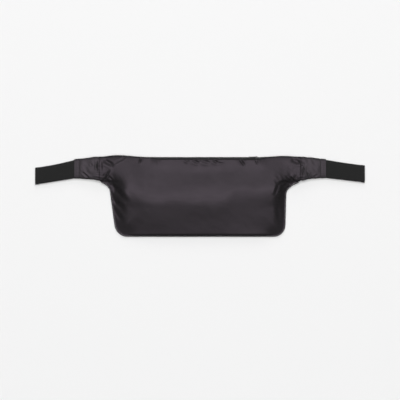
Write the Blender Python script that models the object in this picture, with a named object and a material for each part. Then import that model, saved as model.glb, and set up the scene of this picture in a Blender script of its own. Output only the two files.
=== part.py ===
"""Film changing bag: a light-tight bag inside a bag, with two zips along the top edge and two sleeves.

The bag lies on its back panel. +Z is up out of the front panel, the sleeves run along -X and +X,
and the zips are on the +Y edge. The origin is under the middle of the whole bag, on the surface it
lies on. Lengths are in metres.
"""

import math
from dataclasses import dataclass

import bpy
import numpy as np
from mathutils import Vector

# Fits
GAP = 0.0003  # between two pieces that touch
LAYER_GAP = 0.0035  # air between the outer bag's front panel and the lining bag's
LINING_LIFT = 0.0016  # air between the two back panels
SLIDE_GAP = 0.0004  # between a zip slider and what it runs on

# Cloth
OUTER_CLOTH = 0.0012
LINING_CLOTH = 0.0010

# Body, from the side seams and the bottom seam to the sleeve roots
LEFT_SIDE = 0.3360  # side seam from the middle, at the bottom of the bag
RIGHT_SIDE_EXTRA = 0.0015  # how much further out the right side seam is
LEFT_FLARE = 0.0220  # how much further out the side seam is at the armpit
RIGHT_FLARE = 0.0060
BODY_BOTTOM = -0.1595
BODY_TOP = 0.1555  # zip edge
CORNER_RADIUS = 0.042
ARMPIT_RADIUS = 0.036
ROOT_MARGIN = 0.0060  # from the left armpit's curve out to the sleeve root
SLEEVE_ROOT_WIDTH = 0.0960
ROOT_TOP_RISE = 0.0005  # sleeve root's top edge over the zip edge
LEFT_PEAK = 0.0078  # how far the top edge rises past the zip edge, over each shoulder
RIGHT_PEAK = 0.0047
PEAK_IN = 0.0650  # from the sleeve root in to that peak
CROWN = 0.0500  # height of the front panel's middle over the seam
CROWN_POWER_UP = 0.62  # how squarely the crown falls towards the top and bottom edges
CROWN_POWER_OUT = 0.55  # and towards the side seams
SHOULDER_FROM = 0.1120  # from the sleeve root in to where the shoulder's own arch starts
SHOULDER_BLEND = 0.0800  # length over which it comes in
PUFF = 0.0080  # how far the cloth stands off the seam all round
PUFF_REACH = 0.0300
SEAM_LOW = 0.0070  # height of the seam at the bottom of the bag
SEAM_HIGH = 0.0150  # and at the zip edge
BACK_ROLL = 0.0120  # front panel height at which the back panel has come down flat
LINING_INSET = 0.0050  # from the outer bag's seam to the lining bag's
LINING_EASE = 0.0300  # depth over which the lining rises off its own seam
PIPING_RADIUS = 0.0016
PIPING_STANDOFF = 0.000775  # from the seam to the near side of the piping

# Arms
ROOT_ELASTIC_WIDTH = 0.0080
ROOT_ELASTIC_WALL = 0.0022
END_BAND_WIDTH = 0.0200
END_BAND_WALL = 0.0018
SLEEVE_THICKNESS = 0.0300  # flattened height at the root
CUFF_JOINT_THICKNESS = 0.0180
CUFF_THICKNESS = 0.0150
CUFF_WALL = 0.0020
CUFF_END_BINDING_WIDTH = 0.0140
CUFF_END_BINDING_WALL = 0.0028
TUBE_ROUNDNESS = 0.62  # power of the flattened rings: 1 is an ellipse, 0 a rectangle

# Zips
ZIP_MIDDLE = 0.0350  # middle of the zips from the middle of the bag
ZIP_LENGTH = 0.4000
ZIP_SPACING = 0.0240  # from the outer zip back to the lining's
ZIP_LEAN = math.radians(18.0)  # the zip faces out and a little up
BAND_HALF = 0.0115  # from the middle of the chain to the panel's edge
BAND_FADE = 0.0300  # length over which the panels close up past a zip's end
BAND_SETTLE = 0.0600  # depth under the top edge at which the band's lift has gone
TAPE_FADE = 0.0270  # length of the tapes' closed ends
TAPE_THICKNESS = 0.0008
CHAIN_THICKNESS = 0.0024
CHAIN_HALF_WIDTH = 0.0023
SLIDER_LENGTH = 0.0120
SLIDER_PLATE = 0.0011
SLIDER_LIP = 0.0012
SLIDER_LIP_END = 0.0005  # the lip's width at the slider's two ends
SLIDER_POST = 0.0008  # wall that runs between the two half chains
BAIL_LENGTH = 0.0070
BAIL_WIDTH = 0.0020
BAIL_WALL = 0.0010
BAIL_ROOM = 0.0030  # under the bail, for the pull's end bar
BAIL_SINK = 0.0004  # how deep the bail's feet go into the plate
BAIL_INNER_CORNER = 0.0006
PULL_WIDTH = 0.0065
PULL_THICKNESS = 0.0012
PULL_BAR = 0.0014
PULL_ROOM = 0.0006  # on each side of the bail, in the pull's hole
PULL_CORNER = 0.0008
PULL_TIP_CORNER = 0.0015
PULL_TIP_SHARE = 0.82  # the tip's width as a share of the pull's
OUTER_PULL_LENGTH = 0.0300
INNER_PULL_LENGTH = 0.0200
STOP_LENGTH = 0.0035
SLIDER_PARK = 0.0030  # from the closed end's stop to the slider

# Worked out from the sizes above
RIGHT_SIDE = LEFT_SIDE + RIGHT_SIDE_EXTRA
SHOULDER_REACH = LEFT_SIDE + LEFT_FLARE + ARMPIT_RADIUS + ROOT_MARGIN
PEAK_AT = SHOULDER_REACH - PEAK_IN
ROOT_TOP_Y = BODY_TOP + ROOT_TOP_RISE
ARMPIT_Y = ROOT_TOP_Y - SLEEVE_ROOT_WIDTH
SHOULDER_RISE = SLEEVE_THICKNESS - SEAM_HIGH
ZIP_START = ZIP_MIDDLE - 0.5 * ZIP_LENGTH

# Mesh fineness
END_STATIONS = (0.0, 0.035, 0.11, 0.324, 0.54, 0.77, 1.0)
ZIP_STATIONS = 7
TUBE_SIDES = 20
PIPING_SIDES = 6

NYLON = (0.061, 0.054, 0.063)
NYLON_DARK = (0.030, 0.029, 0.030)
LINING = (0.012, 0.012, 0.013)
ELASTIC = (0.023, 0.023, 0.023)
COIL = (0.020, 0.020, 0.021)
METAL = (0.050, 0.050, 0.052)


# ---------------------------------------------------------------- helpers


def clear_scene():
    for thing in list(bpy.data.objects):
        bpy.data.objects.remove(thing)


def material(name, colour, roughness, metallic=0.0):
    """Principled material of one colour, made once for each name."""
    found = bpy.data.materials.get(name)
    if found:
        return found
    made = bpy.data.materials.new(name)
    made.use_nodes = True
    shader = made.node_tree.nodes["Principled BSDF"]
    shader.inputs["Base Color"].default_value = (*colour, 1.0)
    shader.inputs["Roughness"].default_value = roughness
    shader.inputs["Metallic"].default_value = metallic
    return made


def mesh_object(name, points, faces, finish, origin=(0.0, 0.0, 0.0), smooth=True):
    """Object from points in the bag's frame, with its own origin at the given place."""
    base = Vector(origin)
    mesh = bpy.data.meshes.new(name)
    mesh.from_pydata([tuple(Vector(point) - base) for point in points], [], faces)
    mesh.validate()
    mesh.materials.append(finish)
    if smooth:
        mesh.shade_smooth()
        mesh.set_sharp_from_angle(angle=math.radians(40.0))
    made = bpy.data.objects.new(name, mesh)
    made.location = base
    bpy.context.collection.objects.link(made)
    return made


def ease(t):
    """0 to 1 with level ends."""
    t = np.clip(t, 0.0, 1.0)
    return t * t * (3.0 - 2.0 * t)


def loft(rings, closed_ends=True):
    """Faces that join equal rings of points in order, capped at both ends."""
    size = len(rings[0])
    points = [point for ring in rings for point in ring]
    faces = []
    for k in range(len(rings) - 1):
        for i in range(size):
            j = (i + 1) % size
            faces.append((k * size + i, k * size + j, (k + 1) * size + j, (k + 1) * size + i))
    if closed_ends:
        last = (len(rings) - 1) * size
        faces.append(tuple(reversed(range(size))))
        faces.append(tuple(range(last, last + size)))
    return points, faces


def face_outwards(thing):
    """Turns a closed mesh's faces outwards."""
    mesh = thing.data
    volume = 0.0
    mesh.calc_loop_triangles()
    for triangle in mesh.loop_triangles:
        a, b, c = (mesh.vertices[i].co for i in triangle.vertices)
        volume += a.dot(b.cross(c))
    if volume < 0.0:
        mesh.flip_normals()
    return thing


# ---------------------------------------------------------------- body outline


def zip_end():
    return ZIP_START + ZIP_LENGTH


def zip_reach():
    """Lowest and highest X of the parted panel edges, before they close up."""
    over = STOP_LENGTH + 2.0 * GAP
    return ZIP_START - over, zip_end() + over


def zip_share(x):
    """1 along the zips, falling to 0 where the panels have closed up past their ends."""
    low, high = zip_reach()
    past = max(low - x, x - high, 0.0)
    return max(0.0, 1.0 - past / BAND_FADE)


def top_edge(x):
    """Y of the outer bag's top edge: straight along the zip, with a rise over each shoulder."""
    low, high = zip_reach()
    start, peak = (low - BAND_FADE, LEFT_PEAK) if x < 0.0 else (high + BAND_FADE, RIGHT_PEAK)
    out = abs(x) - abs(start)
    if out <= 0.0:
        return BODY_TOP
    if abs(x) <= PEAK_AT:
        return BODY_TOP + peak * float(ease(out / (PEAK_AT - abs(start))))
    fall = float(ease((abs(x) - PEAK_AT) / (SHOULDER_REACH - PEAK_AT)))
    return BODY_TOP + peak + (ROOT_TOP_Y - BODY_TOP - peak) * fall


def side_line(y, left):
    """Distance of a side seam from the middle, without its armpit curve."""
    side, flare = (LEFT_SIDE, LEFT_FLARE) if left else (RIGHT_SIDE, RIGHT_FLARE)
    along = (y - BODY_BOTTOM) / (ARMPIT_Y - BODY_BOTTOM)
    into_corner = max(0.0, BODY_BOTTOM + CORNER_RADIUS - y)
    corner = CORNER_RADIUS - math.sqrt(max(0.0, CORNER_RADIUS**2 - into_corner**2))
    return side + flare * min(along, 1.0) - corner


def side_edge(y, left, inset=0.0):
    """Distance of a side seam from the middle, with its armpit curve, moved in by an inset."""
    radius = ARMPIT_RADIUS + inset
    into_armpit = min(max(0.0, y - (ARMPIT_Y - ARMPIT_RADIUS)), radius)
    return side_line(y - inset, left) + ARMPIT_RADIUS - math.sqrt(radius**2 - into_armpit**2)


def seam_depth(x, y):
    """Distance of a point in the outer bag's plan from its nearest seam."""
    left = x < 0.0
    depth = [top_edge(x) - y, y - BODY_BOTTOM]
    centre_y = ARMPIT_Y - ARMPIT_RADIUS
    if y <= centre_y:
        depth.append(side_line(y, left) - abs(x))
    else:
        out = max(0.0, side_line(y, left) + ARMPIT_RADIUS - abs(x))
        depth.append(math.hypot(out, y - centre_y) - ARMPIT_RADIUS)
    return max(0.0, min(depth))


def stations():
    """X places across the bag that every panel and tape shares, denser at its ends."""
    low, high = zip_reach()
    left, right = SHOULDER_REACH + low - BAND_FADE, SHOULDER_REACH - high - BAND_FADE
    places = [left * share - SHOULDER_REACH for share in END_STATIONS]
    places += [float(place) for place in np.linspace(low, high, ZIP_STATIONS)]
    places += [SHOULDER_REACH - right * share for share in reversed(END_STATIONS)]
    return places


# ---------------------------------------------------------------- the two bags


@dataclass(frozen=True)
class Bag:
    """One of the two bags: the outer one, or the lining bag inside it."""

    name: str
    cloth: float
    inset: float  # from the outer bag's seams
    zip_inset: float  # from the outer bag's zip edge
    drop: float  # how far its front panel is under the outer one
    floor: float  # height of its back panel's underside
    pull_length: float

    def top(self, x):
        """Y of the top edge."""
        start = max(abs(place) for place in zip_reach()) + BAND_FADE
        out = (abs(x) - start) / max(SHOULDER_REACH - start, GAP)
        share = 1.0 - float(ease(out))
        return top_edge(x) - self.inset - (self.zip_inset - self.inset) * share

    def band_half(self, x):
        return BAND_HALF * zip_share(x)

    def band_point(self, x, v, w):
        """Point on the zip: v up its tapes from the middle of the chain, w out of it."""
        y = BODY_TOP - self.zip_inset - BAND_HALF * math.sin(ZIP_LEAN)
        y += w * math.cos(ZIP_LEAN) - v * math.sin(ZIP_LEAN)
        z = SEAM_HIGH + v * math.cos(ZIP_LEAN) + w * math.sin(ZIP_LEAN)
        return (x, y, z)

    def rim_point(self, x, upper):
        """Edge of the front (upper) or back panel along the top of the bag."""
        half = self.band_half(x)
        lean = 2.0 * half * math.sin(ZIP_LEAN) if upper else 0.0
        side = 1.0 if upper else -1.0
        z = SEAM_HIGH + side * (half * math.cos(ZIP_LEAN) + 0.5 * GAP)
        return (x, self.top(x) - lean, z)

    def bottom(self):
        return BODY_BOTTOM + self.inset

    def armpit(self):
        return ARMPIT_Y + self.inset

    def rows(self):
        """Height levels across the bag: below the armpits a Y, above them a share of the way up."""
        corner = BODY_BOTTOM + CORNER_RADIUS
        lower = [self.bottom() + (corner - self.bottom()) * (1.0 - math.cos(math.radians(a)))
                 for a in (0.0, 32.0, 60.0, 90.0)]
        curve = ARMPIT_Y - ARMPIT_RADIUS
        lower += list(np.linspace(corner, curve, 5))[1:]
        radius = ARMPIT_RADIUS + self.inset
        lower += [curve + radius * math.sin(math.radians(a)) for a in (28.0, 52.0, 72.0)]
        upper = [0.5 - 0.5 * math.cos(math.pi * k / 6.0) for k in range(7)]
        return lower, upper

    def grid(self, upper_panel):
        """Plan of a panel: an array of rows by stations, with X, Y and the depth under the top edge."""
        places = stations()
        shares = [(place + SHOULDER_REACH) / (2.0 * SHOULDER_REACH) for place in places]
        lower, upper = self.rows()
        plan = []
        for y in lower:
            left = -side_edge(y, True, self.inset)
            right = side_edge(y, False, self.inset)
            plan.append([(left + (right - left) * share, y) for share in shares])
        for share_up in upper:
            row = []
            for x in places:
                top = self.rim_point(x, upper_panel)[1]
                row.append((x, self.armpit() + (top - self.armpit()) * share_up))
            plan.append(row)
        return plan

    def arch(self, x, y):
        """Height of the front panel over the seam."""
        left = x < 0.0
        top = top_edge(x)
        middle = 0.5 * (top + BODY_BOTTOM)
        up = (y - middle) / (0.5 * (top - BODY_BOTTOM))
        out = abs(x) / side_line(min(y, ARMPIT_Y), left)
        body = CROWN * max(0.0, 1.0 - up * up) ** CROWN_POWER_UP
        body *= max(0.0, 1.0 - out * out) ** CROWN_POWER_OUT
        across = (y - 0.5 * (top + ARMPIT_Y)) / (0.5 * (top - ARMPIT_Y))
        reach = float(ease((abs(x) - SHOULDER_REACH + SHOULDER_FROM) / SHOULDER_BLEND))
        shoulder = SHOULDER_RISE * math.sqrt(max(0.0, 1.0 - across * across)) * reach
        near = 1.0 - min(1.0, seam_depth(x, y) / PUFF_REACH)
        puff = PUFF * math.sqrt(1.0 - near * near)
        outer = (body**3 + shoulder**3 + puff**3) ** (1.0 / 3.0)
        if self.drop == 0.0:
            return outer
        inside = min(1.0, max(0.0, (outer - self.drop) / self.drop))
        return max(0.0, outer - self.drop) * inside * self.near_rim(x, y)

    def near_rim(self, x, y):
        """0 on this bag's seams and 1 well inside them."""
        depth = min(self.top(x) - y, seam_depth(x, y) - self.inset)
        return math.sqrt(float(ease(depth / LINING_EASE)))

    def seam_height(self, y):
        """Height of this bag's seam, which rises from the middle of the bag to its zip edge."""
        rise = y + self.zip_inset if y > 0.0 else 0.0
        return SEAM_LOW + (SEAM_HIGH - SEAM_LOW) * float(ease(rise / BODY_TOP))

    def heights(self, x, y, depth, upper_panel):
        """Underside of the front panel, or of the back panel, at a point of the plan."""
        seam = self.seam_height(y)
        part = self.band_half(x) * math.cos(ZIP_LEAN) * max(0.0, 1.0 - depth / BAND_SETTLE) ** 2
        if upper_panel:
            height = seam + 0.5 * GAP + part + self.arch(x, y)
            if self.drop > 0.0:
                ceiling = OUTER.heights(x, y, top_edge(x) - y, True) - self.drop
                height = min(height, max(ceiling, seam + 0.5 * GAP))
            return height
        rim = seam - part - 0.5 * GAP - self.cloth
        flat = min(1.0, self.arch(x, y) / BACK_ROLL)
        height = self.floor + (rim - self.floor) * (1.0 - flat) ** 2
        if self.floor > 0.0:
            outer_depth = top_edge(x) - y
            height = max(height, OUTER.heights(x, y, outer_depth, False) + self.floor)
        return height

    def panel(self, name, upper_panel, finish):
        """Sheet of cloth over the plan, closed into a thin solid."""
        plan = self.grid(upper_panel)
        rows, columns = len(plan), len(plan[0])
        under = []
        for row in plan:
            for (x, y), (_, top) in zip(row, plan[-1]):
                under.append((x, y, self.heights(x, y, top - y, upper_panel)))
        for k, x in enumerate(stations()):
            rim_z = self.rim_point(x, upper_panel)[2]
            spot = (rows - 1) * columns + k
            under[spot] = (x, under[spot][1], rim_z if upper_panel else rim_z - self.cloth)
        over = [(x, y, z + self.cloth) for x, y, z in under]
        count = rows * columns
        faces = []
        for r in range(rows - 1):
            for c in range(columns - 1):
                a = r * columns + c
                quad = (a, a + 1, a + columns + 1, a + columns)
                faces.append(tuple(reversed(quad)))
                faces.append(tuple(i + count for i in quad))
        rim = list(range(columns))
        rim += [r * columns + columns - 1 for r in range(1, rows)]
        rim += [(rows - 1) * columns + c for c in range(columns - 2, -1, -1)]
        rim += [r * columns for r in range(rows - 2, 0, -1)]
        for a, b in zip(rim, rim[1:] + rim[:1]):
            faces.append((a, b, b + count, a + count))
        return face_outwards(mesh_object(name, under + over, faces, finish))


OUTER = Bag(
    name="outer",
    cloth=OUTER_CLOTH,
    inset=0.0,
    zip_inset=0.0,
    drop=0.0,
    floor=0.0,
    pull_length=OUTER_PULL_LENGTH,
)
INNER = Bag(
    name="inner",
    cloth=LINING_CLOTH,
    inset=LINING_INSET,
    zip_inset=ZIP_SPACING,
    drop=LAYER_GAP + LINING_CLOTH,
    floor=OUTER_CLOTH + LINING_LIFT,
    pull_length=INNER_PULL_LENGTH,
)


def build_piping(finish):
    """Piping sewn round the outer bag's seam: down one side, along the bottom and up the other."""
    lower = OUTER.rows()[0]
    out = PIPING_RADIUS + PIPING_STANDOFF
    left = [(-side_edge(y, True), y) for y in reversed(lower)]
    right = [(side_edge(y, False), y) for y in lower]
    route = left + right
    rings = []
    for k, (x, y) in enumerate(route):
        before = route[max(k - 1, 0)]
        after = route[min(k + 1, len(route) - 1)]
        along = Vector((after[0] - before[0], after[1] - before[1], 0.0)).normalized()
        outward = Vector((along.y, -along.x, 0.0))
        centre = Vector((x, y, OUTER.seam_height(y))) + outward * out
        ring = []
        for i in range(PIPING_SIDES):
            angle = 2.0 * math.pi * (i + 0.5) / PIPING_SIDES
            ring.append(
                centre
                + outward * PIPING_RADIUS * math.cos(angle)
                + Vector((0.0, 0.0, PIPING_RADIUS * math.sin(angle)))
            )
        rings.append(ring)
    points, faces = loft(rings)
    return face_outwards(mesh_object("seam_piping", points, faces, finish))


# ---------------------------------------------------------------- arms


@dataclass(frozen=True)
class Arm:
    """One sleeve with its cuff."""

    name: str
    side: float  # -1 left, +1 right
    sleeve_length: float  # from the sleeve root to the cuff joint
    cuff_length: float
    joint_drop: float  # how far the top edge has come down at the cuff joint
    joint_width: float
    end_drop: float  # the same at the cuff's free end
    end_width: float
    sag: float  # how far the cuff's top edge dips half way

    @property
    def joint_at(self):
        """Distance of the cuff joint from the middle of the bag."""
        return SHOULDER_REACH + self.sleeve_length

    @property
    def end_at(self):
        """Distance of the cuff's free end from the middle of the bag."""
        return self.joint_at + self.cuff_length

    def edges(self, out):
        """Low and high Y and the thickness of the arm at a distance from the middle."""
        if out <= self.joint_at:
            t = (out - SHOULDER_REACH) / self.sleeve_length
            high = ROOT_TOP_Y - self.joint_drop * t
            width = SLEEVE_ROOT_WIDTH + (self.joint_width - SLEEVE_ROOT_WIDTH) * t
            thick = SLEEVE_THICKNESS + (CUFF_JOINT_THICKNESS - SLEEVE_THICKNESS) * t
            return high - width, high, thick
        t = (out - self.joint_at) / self.cuff_length
        high = ROOT_TOP_Y - self.joint_drop + (self.joint_drop - self.end_drop) * t
        width = self.joint_width + (self.end_width - self.joint_width) * t
        thick = CUFF_JOINT_THICKNESS + (CUFF_THICKNESS - CUFF_JOINT_THICKNESS) * t
        return high - width, high - self.sag * 4.0 * t * (1.0 - t), thick

    def ring(self, out, inset):
        """Flattened ring of points round the arm, inset from its outside."""
        low, high, thick = self.edges(out)
        middle_y, half_y = 0.5 * (low + high), 0.5 * (high - low) - inset
        middle_z, half_z = 0.5 * thick, 0.5 * thick - inset
        power = TUBE_ROUNDNESS
        full = 1.0 / math.cos(math.pi / TUBE_SIDES) ** power
        ring = []
        for k in range(TUBE_SIDES):
            angle = 2.0 * math.pi * (k + 0.5) / TUBE_SIDES
            across, up = math.cos(angle), math.sin(angle)
            y = middle_y + half_y * math.copysign(min(1.0, full * abs(across) ** power), across)
            z = middle_z + half_z * math.copysign(min(1.0, full * abs(up) ** power), up)
            ring.append((self.side * out, y, z))
        return ring

    def tube(self, name, start, end, inset, wall, finish, steps=3):
        """Open tube along the arm between two distances from the middle."""
        outs = np.linspace(start, end, steps)
        rings = [self.ring(float(out), inset) for out in outs]
        rings += [self.ring(float(out), inset + wall) for out in reversed(outs)]
        points, faces = loft(rings, closed_ends=False)
        size, last = TUBE_SIDES, (len(rings) - 1) * TUBE_SIDES
        for i in range(size):
            j = (i + 1) % size
            faces.append((last + i, last + j, j, i))
        pivot = (self.side * self.hinge_at(), 0.5 * (ARMPIT_Y + ROOT_TOP_Y), SLEEVE_THICKNESS)
        made = mesh_object(name, points, faces, finish, pivot)
        return face_outwards(made)

    def hinge_at(self):
        """Distance of the sleeve's fold line from the middle."""
        return SHOULDER_REACH + 2.0 * GAP + ROOT_ELASTIC_WIDTH

    def build(self, nylon, lining, elastic, band):
        """Every piece of the arm."""
        ring_start = SHOULDER_REACH + GAP
        ring_end = ring_start + ROOT_ELASTIC_WIDTH
        sleeve_start = ring_end + GAP
        band_end = self.joint_at
        band_start = band_end - END_BAND_WIDTH
        binding_start = self.end_at - CUFF_END_BINDING_WIDTH
        self.tube(f"{self.name}_root_elastic", ring_start, ring_end, 0.0, ROOT_ELASTIC_WALL,
                  elastic, 2)
        self.tube(f"{self.name}_outer_sleeve", sleeve_start, band_start - GAP, 0.0, OUTER_CLOTH,
                  nylon, 4)
        self.tube(f"{self.name}_sleeve_lining", sleeve_start, band_start - GAP,
                  OUTER_CLOTH + GAP, LINING_CLOTH, lining, 4)
        self.tube(f"{self.name}_sleeve_end_band", band_start, band_end, 0.0, END_BAND_WALL,
                  band, 2)
        self.tube(f"{self.name}_cuff", band_end + GAP, binding_start - GAP, 0.0, CUFF_WALL,
                  elastic, 5)
        self.tube(f"{self.name}_cuff_end_binding", binding_start, self.end_at, 0.0,
                  CUFF_END_BINDING_WALL, elastic, 2)


LEFT_ARM = Arm(
    name="left",
    side=-1.0,
    sleeve_length=0.1030,
    cuff_length=0.1570,
    joint_drop=0.0088,
    joint_width=0.0768,
    end_drop=0.0424,
    end_width=0.0684,
    sag=0.0030,
)
RIGHT_ARM = Arm(
    name="right",
    side=1.0,
    sleeve_length=0.1036,
    cuff_length=0.1564,
    joint_drop=0.0084,
    joint_width=0.0756,
    end_drop=0.0336,
    end_width=0.0688,
    sag=0.0010,
)


# ---------------------------------------------------------------- zips


def chain_half_gap():
    """From the middle of the zip to the near side of each half chain."""
    return 0.5 * SLIDER_POST + SLIDE_GAP


def tape_edge():
    """From the middle of the zip to the near edge of each tape."""
    return chain_half_gap() + CHAIN_HALF_WIDTH + GAP


def band_box(bag, name, x_range, v_range, w_range, finish):
    """Straight bar along the zip."""
    rings = []
    for x in x_range:
        rings.append([
            bag.band_point(x, v_range[0], w_range[0]),
            bag.band_point(x, v_range[1], w_range[0]),
            bag.band_point(x, v_range[1], w_range[1]),
            bag.band_point(x, v_range[0], w_range[1]),
        ])
    points, faces = loft(rings)
    return face_outwards(mesh_object(name, points, faces, finish, smooth=False))


def build_tape(bag, upper, finish):
    """Tape from a panel's edge to the chain, closing up with the panel past the zip's ends."""
    low, high = zip_reach()
    side = 1.0 if upper else -1.0
    places = [(low - TAPE_FADE, 0.5 * GAP), (low, 0.5 * GAP), (low + GAP, tape_edge())]
    places += [(x, tape_edge()) for x in stations() if low + GAP < x < high - GAP]
    places += [(high - GAP, tape_edge()), (high, 0.5 * GAP), (high + TAPE_FADE, 0.5 * GAP)]
    normal = Vector((0.0, math.cos(ZIP_LEAN), math.sin(ZIP_LEAN))) * 0.5 * TAPE_THICKNESS
    rings = []
    for x, inner in places:
        near = Vector(bag.band_point(x, side * inner, 0.0))
        rim = Vector(bag.rim_point(x, upper))
        far = rim - Vector((0.0, 0.0, side * GAP))
        share = zip_share(x)
        near.y += (bag.top(x) - (BODY_TOP - bag.zip_inset)) * (1.0 - share)
        near.y += BAND_HALF * math.sin(ZIP_LEAN) * (1.0 - share)
        rings.append([near - normal, far - normal, far + normal, near + normal])
    points, faces = loft(rings)
    word = "upper" if upper else "lower"
    name = f"{bag.name}_zip_{word}_tape"
    return face_outwards(mesh_object(name, points, faces, finish, smooth=False))


def slider_outline(lip):
    """Section of the slider: two plates on a post, each with lips that reach over the tapes."""
    post = 0.5 * SLIDER_POST
    plate_low, plate_high = plate_heights()
    lip_inner = tape_edge() + SLIDE_GAP
    lip_low = 0.5 * TAPE_THICKNESS + SLIDE_GAP
    quarter = [
        (post, plate_low), (lip_inner, plate_low), (lip_inner, lip_low),
        (lip_inner + lip, lip_low), (lip_inner + lip, plate_high),
    ]
    upper = quarter + [(-v, w) for v, w in reversed(quarter)]
    return upper + [(-v, -w) for v, w in upper]


def plate_heights():
    """Inner and outer face of the slider's plate, from the middle of the chain."""
    low = 0.5 * CHAIN_THICKNESS + SLIDE_GAP
    return low, low + SLIDER_PLATE


def build_slider(bag, finish):
    """Slider with its bail. Returns the place along the zip and the height of the pull's hinge."""
    closed_x = zip_end() - SLIDER_PARK - 0.5 * SLIDER_LENGTH
    plate_high = plate_heights()[1]
    rings = []
    for out, lip in ((-0.5, SLIDER_LIP_END), (-0.25, SLIDER_LIP), (0.3, SLIDER_LIP),
                     (0.5, SLIDER_LIP_END)):
        x = closed_x + out * SLIDER_LENGTH
        rings.append([bag.band_point(x, v, w) for v, w in slider_outline(lip)])
    points, faces = loft(rings)
    name = f"{bag.name}_zip_slider"
    origin = bag.band_point(closed_x, 0.0, plate_high)
    slider = face_outwards(mesh_object(name, points, faces, finish, origin, smooth=False))

    half = 0.5 * BAIL_LENGTH
    room = half - BAIL_WALL
    base, ceiling = plate_high - BAIL_SINK, plate_high + BAIL_ROOM
    crest = ceiling + BAIL_WALL
    arch = [
        (-half, base), (-room, base), (-room, ceiling - BAIL_INNER_CORNER),
        (-room + BAIL_INNER_CORNER, ceiling), (room - BAIL_INNER_CORNER, ceiling),
        (room, ceiling - BAIL_INNER_CORNER), (room, base), (half, base),
        (half, crest - BAIL_WALL), (half - BAIL_WALL, crest), (-half + BAIL_WALL, crest),
        (-half, crest - BAIL_WALL),
    ]
    rings = []
    for v in (-0.5 * BAIL_WIDTH, 0.5 * BAIL_WIDTH):
        rings.append([bag.band_point(closed_x + u, v, w) for u, w in arch])
    points, faces = loft(rings)
    bail = face_outwards(mesh_object(name + "_bail_guide", points, faces, finish, smooth=False))
    bail.hide_render = True
    bail.display_type = "WIRE"
    join = slider.modifiers.new("bail", "BOOLEAN")
    join.operation = "UNION"
    join.object = bail
    return closed_x, plate_high + 0.5 * BAIL_ROOM


def build_pull(bag, hinge_x, hinge_w, finish):
    """Pull tab whose end bar passes under the slider's bail; it lies back along the zip."""
    bar = 0.5 * PULL_BAR
    hole_half = 0.5 * BAIL_WIDTH + PULL_ROOM
    clear = math.hypot(0.5 * BAIL_LENGTH, 0.5 * BAIL_ROOM + BAIL_WALL) + GAP
    half = 0.5 * PULL_WIDTH
    tip, slim = bag.pull_length, PULL_TIP_SHARE * half
    edge = [
        (bar, half - PULL_CORNER), (bar - PULL_CORNER, half), (-0.45 * tip, half),
        (-0.6 * tip, slim), (-tip + PULL_TIP_CORNER, slim), (-tip, slim - PULL_TIP_CORNER),
    ]
    outside = edge + [(u, -v) for u, v in reversed(edge)]
    corners = [(-bar, -hole_half), (-bar, hole_half), (-clear, hole_half), (-clear, -hole_half)]
    hole = [corners[1]] * 3 + [corners[2]] * 3 + [corners[3]] * 3 + [corners[0]] * 3
    size = len(outside)
    points, faces = [], []
    for w in (hinge_w - 0.5 * PULL_THICKNESS, hinge_w + 0.5 * PULL_THICKNESS):
        points += [bag.band_point(hinge_x + u, v, w) for u, v in outside]
        points += [bag.band_point(hinge_x + u, v, w) for u, v in corners]
    spot = {corner: size + k for k, corner in enumerate(corners)}
    step = size + len(corners)
    for i in range(size):
        j = (i + 1) % size
        a, b = spot[hole[i]], spot[hole[j]]
        low = (i, j, b, a) if a != b else (i, j, a)
        faces.append(low)
        faces.append(tuple(reversed([k + step for k in low])))
        faces.append((j, i, i + step, j + step))
    for k in range(len(corners)):
        a, b = size + k, size + (k + 1) % len(corners)
        faces.append((a, b, b + step, a + step))
    origin = bag.band_point(hinge_x, 0.0, hinge_w)
    made = mesh_object(f"{bag.name}_zip_pull", points, faces, finish, origin, smooth=False)
    return face_outwards(made)


def build_zip(bag, tape, coil, metal):
    """Both tapes, both half chains, both stops, the slider and its pull."""
    near, far = chain_half_gap(), chain_half_gap() + CHAIN_HALF_WIDTH
    deep = 0.5 * CHAIN_THICKNESS
    for upper in (True, False):
        build_tape(bag, upper, tape)
        word, side = ("upper", 1.0) if upper else ("lower", -1.0)
        v_range = sorted((side * near, side * far))
        band_box(bag, f"{bag.name}_zip_{word}_chain", (ZIP_START, zip_end()), v_range,
                 (-deep, deep), coil)
    stop_deep = deep + SLIDE_GAP
    low, high = ZIP_START - GAP, zip_end() + GAP
    band_box(bag, f"{bag.name}_zip_bottom_stop", (low - STOP_LENGTH, low), (-far, far),
             (-stop_deep, stop_deep), metal)
    band_box(bag, f"{bag.name}_zip_top_stop", (high, high + STOP_LENGTH), (-far, far),
             (-stop_deep, stop_deep), metal)
    hinge_x, hinge_w = build_slider(bag, metal)
    build_pull(bag, hinge_x, hinge_w, metal)


# ---------------------------------------------------------------- assembly


def main():
    clear_scene()
    nylon = material("outer_nylon", NYLON, 0.42)
    piping = material("piping", NYLON_DARK, 0.5)
    lining = material("lining_cloth", LINING, 0.8)
    elastic = material("ribbed_elastic", ELASTIC, 0.9)
    tape = material("zip_tape", NYLON_DARK, 0.8)
    coil = material("zip_coil", COIL, 0.5)
    metal = material("zip_metal", METAL, 0.45, 0.8)

    OUTER.panel("outer_front_panel", True, nylon)
    OUTER.panel("outer_back_panel", False, nylon)
    INNER.panel("inner_front_panel", True, lining)
    INNER.panel("inner_back_panel", False, lining)
    build_piping(piping)
    for arm in (LEFT_ARM, RIGHT_ARM):
        arm.build(nylon, lining, elastic, nylon)
    for bag in (OUTER, INNER):
        build_zip(bag, tape, coil, metal)


main()
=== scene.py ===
"""Looks of a film changing bag: cloth bag, lining bag, sleeves, ribbed cuffs and two zips.

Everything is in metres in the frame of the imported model: +Z up out of the front panel, +X along the
right sleeve and +Y towards the zipped edge.
"""

import logging
import math
from collections.abc import Callable
from dataclasses import dataclass, field
from enum import Enum

import bmesh
import bpy
import numpy as np
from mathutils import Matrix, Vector, geometry


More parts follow.
